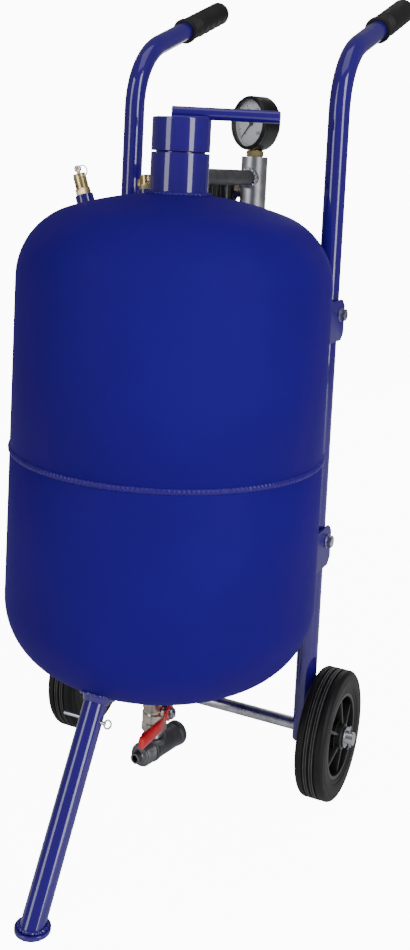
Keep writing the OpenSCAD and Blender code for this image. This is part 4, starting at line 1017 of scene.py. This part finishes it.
# %% Separator
SEP = at(-43, MAN_Y, 0)
head = lathe([(4, 706), (15, 706), (15, 701), (18.8, 701, 0.8), (19.0, 703.5), (19.0, 720.5),
              (18.6, 723, 1.8), (4, 723)], 0.5, 120)
top_ring = lathe([(4, 722.6), (11.5, 722.6), (10.6, 723.4, 0.4), (4, 723.4)], 0.3)
flute = lathe([(0, 703), (1.5, 703.6), (1.5, 719.6, 0.8), (0, 720.8)], 0.6, 20)
flute.transform(at(18.6, 0, 0))
settle("fluted_head", [(head, SEP), (top_ring, SEP),
                       (lathe([(0, 720), (4, 720), (4, 723.6, 0.4), (0, 723.6)]), SEP),
                       (repeated(flute, 20), SEP)],
       "gauge_black", ["separator_head"])
glass = lathe([(3.2, 635), (11, 635, 0.8), (18, 641, 2.5), (18, 698.5), (18, 701, 0.4), (15.5, 701),
               (15.5, 642, 1.5), (3.2, 640.5)], 0.5, 96)
settle("clear_bowl", [(glass, SEP)], "smoked_bowl", ["separator_bowl"])
paint_node("separator_element", "filter_element")
grip_bar = block(-10, 10, -2, 2, 624, 630, 0.9)
settle("drain_cock", [(lathe([(0, 623), (5.2, 623), (6, 624.2, 0.5), (6, 631), (5.2, 632), (6, 633),
                              (6, 634.6, 0.6), (0, 634.6)]), SEP), (grip_bar, SEP),
                      (lathe([(0, 634), (2.95, 634), (2.95, 640), (0, 640)]), SEP)],
       "brass", ["drain_knob"], "drain")
joint = at(-31, MAN_Y, PORT_Z) @ turned(90, "Y")
settle("air_nipple", [(gas_thread(0, 20.5, 4.0), joint),
                      (hexagon(17, 6.5, 8), at(-23, MAN_Y, PORT_Z) @ turned(90, "Y"))],
       "nickel_plate", ["separator_nipple"])
plug = [(2.75, 7.8), (4.5, 7.8), (4.5, 12), (6, 14, 0.3), (6, 18, 0.4), (4.5, 18.6), (4.5, 22), (3.8, 22.4),
        (3.8, 29.4), (3.2, 30), (2.75, 30)]
inlet = at(-62, MAN_Y, PORT_Z) @ turned(-90, "Y")
settle("coupler_plug", [(lathe(plug, 0.25), inlet), (hexagon(17, 8, 5.5), inlet),
                        (gas_thread(-6.5, 0.4, 2.75), inlet)],
       "nickel_plate", ["inlet_plug"])

# %% [markdown]
# ## Safety valve and vent cock
# Both are turned brass on the tank's own bosses. The relief valve has a lock groove under its
# bonnet, a spring inside, and a ring through its stem to lift it by hand.

# %% Brass fittings on the crown
on_safety = on_crown(*SAFETY, 11)
softened("safety_body", 0.45)
cap_of_valve = [(2.1, 21), (7.4, 21), (7.4, 22.2, 0.3), (6.7, 22.7), (6.7, 23.2), (7.4, 23.7, 0.3),
                (7.3, 24.6, 0.7), (5.2, 25.0), (2.1, 25.0)]
settle("bonnet", [(lathe(cap_of_valve, 0.2), on_safety)], "brass", ["safety_bonnet"])
softened("safety_stem", 0.35)
coil = [(5.0 * math.cos(t * math.pi / 6), 5.0 * math.sin(t * math.pi / 6),
         7.6 + 9.2 * t / 78) for t in range(79)]
settle("relief_spring", [(wire(coil, 0.5, 10, resolution=3), on_safety)], "zinc_plate", ["safety_spring"],
       "relief_stem")
hanging = on_safety @ at(0, 0, 31) @ turned(-40, "Y") @ at(-6.5, 0, 0) @ turned(90, "X")
settle("lift_ring", [(ring(6.5, 1.5, 64), hanging)],
       "zinc_plate", ["pull_ring"], "relief_ring")
softened("vent_body", 0.4)
softened("vent_key", 0.3)

# %% [markdown]
# ## Outlet valve
# A two-piece ball valve in nickel plate between threaded nipples. Its cranked lever is dipped
# in red vinyl, thick and soft-edged over the straight end and thin over the hub.

# %% Ball valve and lever
VALVE = at(0, 0, 119.5)
shell = lathe([(6.25, -12), (10.2, -12), (10.2, 15.0), (13.5, 15.0), (14, 13.8, 0.8), (14, 3),
               (13.2, 1.2, 1), (13.2, -1.2, 1), (14, -3), (14, -12.4, 1.2),
               (12.6, -14.4, 0.8), (6.25, -14.4)], 0.4, 96)
stem_boss = lathe([(3.55, 11.5), (7.6, 11.5), (7.0, 15.5, 0.6), (7.0, 17, 0.6), (3.55, 17)], 0.3)
settle("valve_half_body", [(shell, VALVE), (hexagon(25, 11, 20.9), VALVE @ at(0, 0, -25)),
                           (stem_boss, VALVE @ turned(90, "Y"))],
       "nickel_plate", ["valve_body"])
settle("valve_half_end", [(hexagon(25, 9.7, 20.9), VALVE @ at(0, 0, 15.3)),
                          (lathe([(6.25, 10.4), (9.9, 10.4), (9.9, 15.6), (6.25, 15.6)]), VALVE)],
       "nickel_plate", ["valve_end"])
settle("nipples", [(threaded(10.3, 0.75, 1.8, low, high, 6.25), at())
                   for low, high in ((133, 169), (82.8, 106))],
       "zinc_plate", ["valve_nipples"])
paint_node("valve_ball", "chromed_ball")
paint_node("valve_seats", "white_ptfe")
softened("valve_stem", 0.3)
LEVER_X, CRANKED = 17.6, 22.6
strip = [(LEVER_X, 2), (LEVER_X, -12), (CRANKED, -24), (CRANKED, -78), (CRANKED + 2, -78),
         (CRANKED + 2, -25), (LEVER_X + 2, -13), (LEVER_X + 2, 2)]
hub = lathe([(3.6, 0), (9.4, 0), (9.4, 2.3), (3.6, 2.3)], 0.8, 72)
settle("lever_strip", [(plate(strip, -6.2, 6.2, 0.7), VALVE),
                       (hub, VALVE @ at(LEVER_X, 0, 0) @ turned(90, "Y"))],
       "red_vinyl", ["valve_lever"], "lever")


def dipped(stations, sides=40):
    """A soft sleeve along -Y: each station is (y, half thickness, half width)."""
    bm = bmesh.new()
    rings = []
    for y, thick, wide in stations:
        loop = []
        for i in range(sides):
            a = 2 * math.pi * i / sides
            c, s = math.cos(a), math.sin(a)
            loop.append(bm.verts.new((CRANKED + 1 + thick * math.copysign(abs(c) ** 0.62, c), y,
                                      wide * math.copysign(abs(s) ** 0.62, s))))
        rings.append(loop)
    for one, two in zip(rings, rings[1:]):
        for i in range(sides):
            j = (i + 1) % sides
            bm.faces.new((one[i], one[j], two[j], two[i]))
    bm.faces.new(rings[0])
    bm.faces.new(rings[-1])
    bmesh.ops.recalc_face_normals(bm, faces=bm.faces)
    return bm


sleeve = [(-25.4, 1.7, 5.9), (-25.8, 2.3, 6.5), (-27.2, 2.7, 6.9), (-40, 3.1, 7.1), (-60, 3.4, 7.4),
          (-72, 3.4, 7.4)]
for t in range(15, 91, 15):
    nose = max(0.05, math.cos(math.radians(t))) ** 0.5
    sleeve.append((-72 - 7.2 * math.sin(math.radians(t)), 3.4 * nose, 7.4 * nose))
settle("lever_grip", [(dipped(sleeve), VALVE)], "red_vinyl", ["lever_sleeve"], "lever", sharp=60)
settle("stem_nut", [(hexagon(11, 5, 7.1), VALVE @ at(LEVER_X + 2, 0, 0) @ turned(90, "Y")),
                    (lathe([(3.6, 1.9), (6.6, 1.9), (6.6, 2.5), (3.6, 2.5)], 0.15, 48),
                     VALVE @ at(LEVER_X, 0, 0) @ turned(90, "Y"))],
       "zinc_plate", ["lever_nut"], "lever")

# %% [markdown]
# ## Mixing tee
# A malleable-iron tee has a thick band at each mouth and generous fillets where the branch
# meets the run. The two solids are fused by a voxel remesh and smoothed, which leaves the
# rounded hollows of a casting. The blast nozzle screws into its front.

# %% Tee and nozzle
TEE_Z, TEE_TURN = 73.0, -10.0
TEE = at(0, 0, TEE_Z) @ turned(TEE_TURN, "Z") @ turned(90, "X")
CASTING_VOXEL, MOUTH_R, MOUTH_Z = 0.75, 9.2, -46.8


def cast_tee():
    run = lathe([(0, -47.8), (14.2, -47.8, 1.2), (14.5, -44, 1), (14.4, -40, 1.5), (13.5, -38.4),
                 (13.5, 0.4), (14.4, 2, 1.5), (14.5, 5, 1), (14.2, 8.2, 1.2), (0, 8.2)], 0.8, 96)
    branch = lathe([(0, 0), (12.9, 0), (12.9, 8.6), (14.2, 10.2, 1.2), (14.4, 12.5, 1), (14.1, 15.4, 1.2),
                    (0, 15.4)], 0.8, 96)
    branch.transform(turned(-90, "X"))
    raw = bpy.data.meshes.new("raw")
    both = bmesh.new()
    for bm in (run, branch):
        bm.to_mesh(raw)
        both.from_mesh(raw)
        bm.free()
    both.to_mesh(raw)
    both.free()

    def fused(holder):
        fuse = holder.modifiers.new("fuse", "REMESH")
        fuse.mode, fuse.voxel_size = "VOXEL", CASTING_VOXEL
        relax = holder.modifiers.new("relax", "SMOOTH")
        relax.factor, relax.iterations = 0.5, 7

    bm = as_bmesh(baked(raw, fused))
    # the rear mouth is opened by dropping the faces that close it
    shut = []
    for face in bm.faces:
        middle = face.calc_center_median()
        if math.hypot(middle.x, middle.y) < MOUTH_R and middle.z < MOUTH_Z:
            shut.append(face)
    bmesh.ops.delete(bm, geom=shut, context="FACES")
    return bm


mouth = lathe([(9.1, -47.6), (9.6, -47.6), (9.6, -34), (0, -34), (0, -34.6), (9.1, -34.6)], 0.1, 72)
settle("tee_casting", [(cast_tee(), TEE), (mouth, TEE)], "grey_iron", ["mixing_tee"], sharp=60)
front = [(3.75, 7.6), (11.8, 7.6), (11.8, 23.2, 0.5), (11.2, 24.6, 0.6), (7.6, 25.2), (6.6, 26.2, 0.6),
         (6.0, 27.4), (6.0, 33.0, 0.5), (5.4, 33.4), (3.75, 33.4)]
settle("blast_nozzle", [(lathe(front, 0.25, 96), TEE),
                        (lathe([(0, 16), (3.9, 16), (3.9, 17.8), (0, 17.8)], 0.1, 40), TEE)],
       "dark_steel", ["hose_nipple"])
tip = lathe([(3.7, 32.9), (6.1, 32.9), (6.1, 33.7, 0.4), (5.4, 34, 0.2), (3.7, 33.7)], 0.15, 64)
settle("nozzle_thread", [(threaded(13.6, 1.0, 2.1, 8.0, 23.8, 11.5, 96), TEE), (tip, TEE)], "dark_steel")
bare = sorted(n for n, node in frame["nodes"].items() if not node.hide_render)
print("CAD nodes still shown:", bare)

# %% [markdown]
# ## Camera, floor and light
# The lens stands a little over a metre in front, as high as the filler neck, and looks
# slightly down. The key and strip boxes, right and left, draw the long upright highlights on
# the tubes. The front box lights the shells without being mirrored in them, a weak one
# overhead fills the crown, and three more light the back. The floor and the world shine
# white only for the lens, so they don't wash out the paint.

# %% Camera
lens = bpy.data.cameras.new("lens")
lens.sensor_width, lens.lens, lens.shift_y = 36.0, 42.89, -0.22
lens.sensor_fit = "AUTO"
lens.clip_end = 20
lens_place = Vector((0.5612, -1.1187 + AXIS_Y, 0.7472))
camera = bpy.data.objects.new("camera", lens)
forward = Vector((-0.4230, 0.9016, -0.0906)).normalized()
right = Vector((0.9023, 0.4282, 0.0486))
right = (right - forward * right.dot(forward)).normalized()
above = right.cross(forward)
aim = Matrix((right, above, -forward)).transposed().to_4x4()
camera.matrix_world = Matrix.Translation(lens_place) @ aim
bpy.context.scene.collection.objects.link(camera)
bpy.context.scene.camera = camera


# %% Floor and lights
WHITE_TO_LENS, AMBIENT = 11.0, 0.18


def plain_stage(name, corners, colour, rough):
    mesh = bpy.data.meshes.new(name)
    mesh.from_pydata(corners, [], [tuple(range(len(corners)))])
    f = Finish(name)
    f.shader.inputs["Emission Color"].default_value = (1, 1, 1, 1)
    f.feed(f.shader.inputs["Emission Strength"], f.add("ShaderNodeLightPath") * WHITE_TO_LENS)
    f.drive(Base_Color=f.ramp(f.noise(3.0), (0.0, colour), (1.0, colour)),
            Roughness=rough + f.noise(5.0) * 0.02)
    mesh.materials.append(f.material)
    slab = bpy.data.objects.new(name, mesh)
    bpy.context.scene.collection.objects.link(slab)
    return slab


plain_stage("floor", [(-8, -8, -0.0005), (8, -8, -0.0005), (8, 8, -0.0005), (-8, 8, -0.0005)],
            (0.93, 0.93, 0.94), 0.6)


def soft_box(name, place, wide, tall, power, diffuse=True, glossy=True):
    """A panel lamp aimed at the machine's middle, with or without its diffuse or mirrored light."""
    light = bpy.data.lights.new(name, "AREA")
    light.shape, light.size, light.size_y, light.energy = "RECTANGLE", wide, tall, power
    lamp = bpy.data.objects.new(name, light)
    lamp.location = place
    lamp.rotation_euler = (Vector((0, 0, 0.5)) - Vector(place)).to_track_quat("-Z", "Y").to_euler()
    lamp.visible_diffuse, lamp.visible_glossy = diffuse, glossy
    bpy.context.scene.collection.objects.link(lamp)


soft_box("key", (2.1, -0.9, 1.3), 0.8, 2.6, 36)
soft_box("strip", (-0.95, -2.1, 1.3), 0.8, 2.6, 22, diffuse=False)
soft_box("front", (0.1, -2.4, 1.6), 1.6, 1.6, 27, glossy=False)
soft_box("top", (0.2, -0.3, 2.6), 1.4, 1.4, 6)
soft_box("rear", (0.9, 2.3, 1.4), 1.5, 2.0, 14, glossy=False)
soft_box("rear_side", (-2.2, 0.9, 1.2), 0.9, 2.0, 9, glossy=False)
soft_box("rear_strip", (-0.3, 2.5, 1.2), 0.5, 2.0, 5)

world = bpy.data.worlds.new("studio")
bpy.context.scene.world = world
world.use_nodes = True
sky = Bench(world.node_tree)
backdrop = world.node_tree.nodes["Background"]
backdrop.inputs["Color"].default_value = (1, 1, 1, 1)
seen = sky.add("ShaderNodeLightPath")
sky.feed(backdrop.inputs["Strength"], seen * WHITE_TO_LENS + AMBIENT)
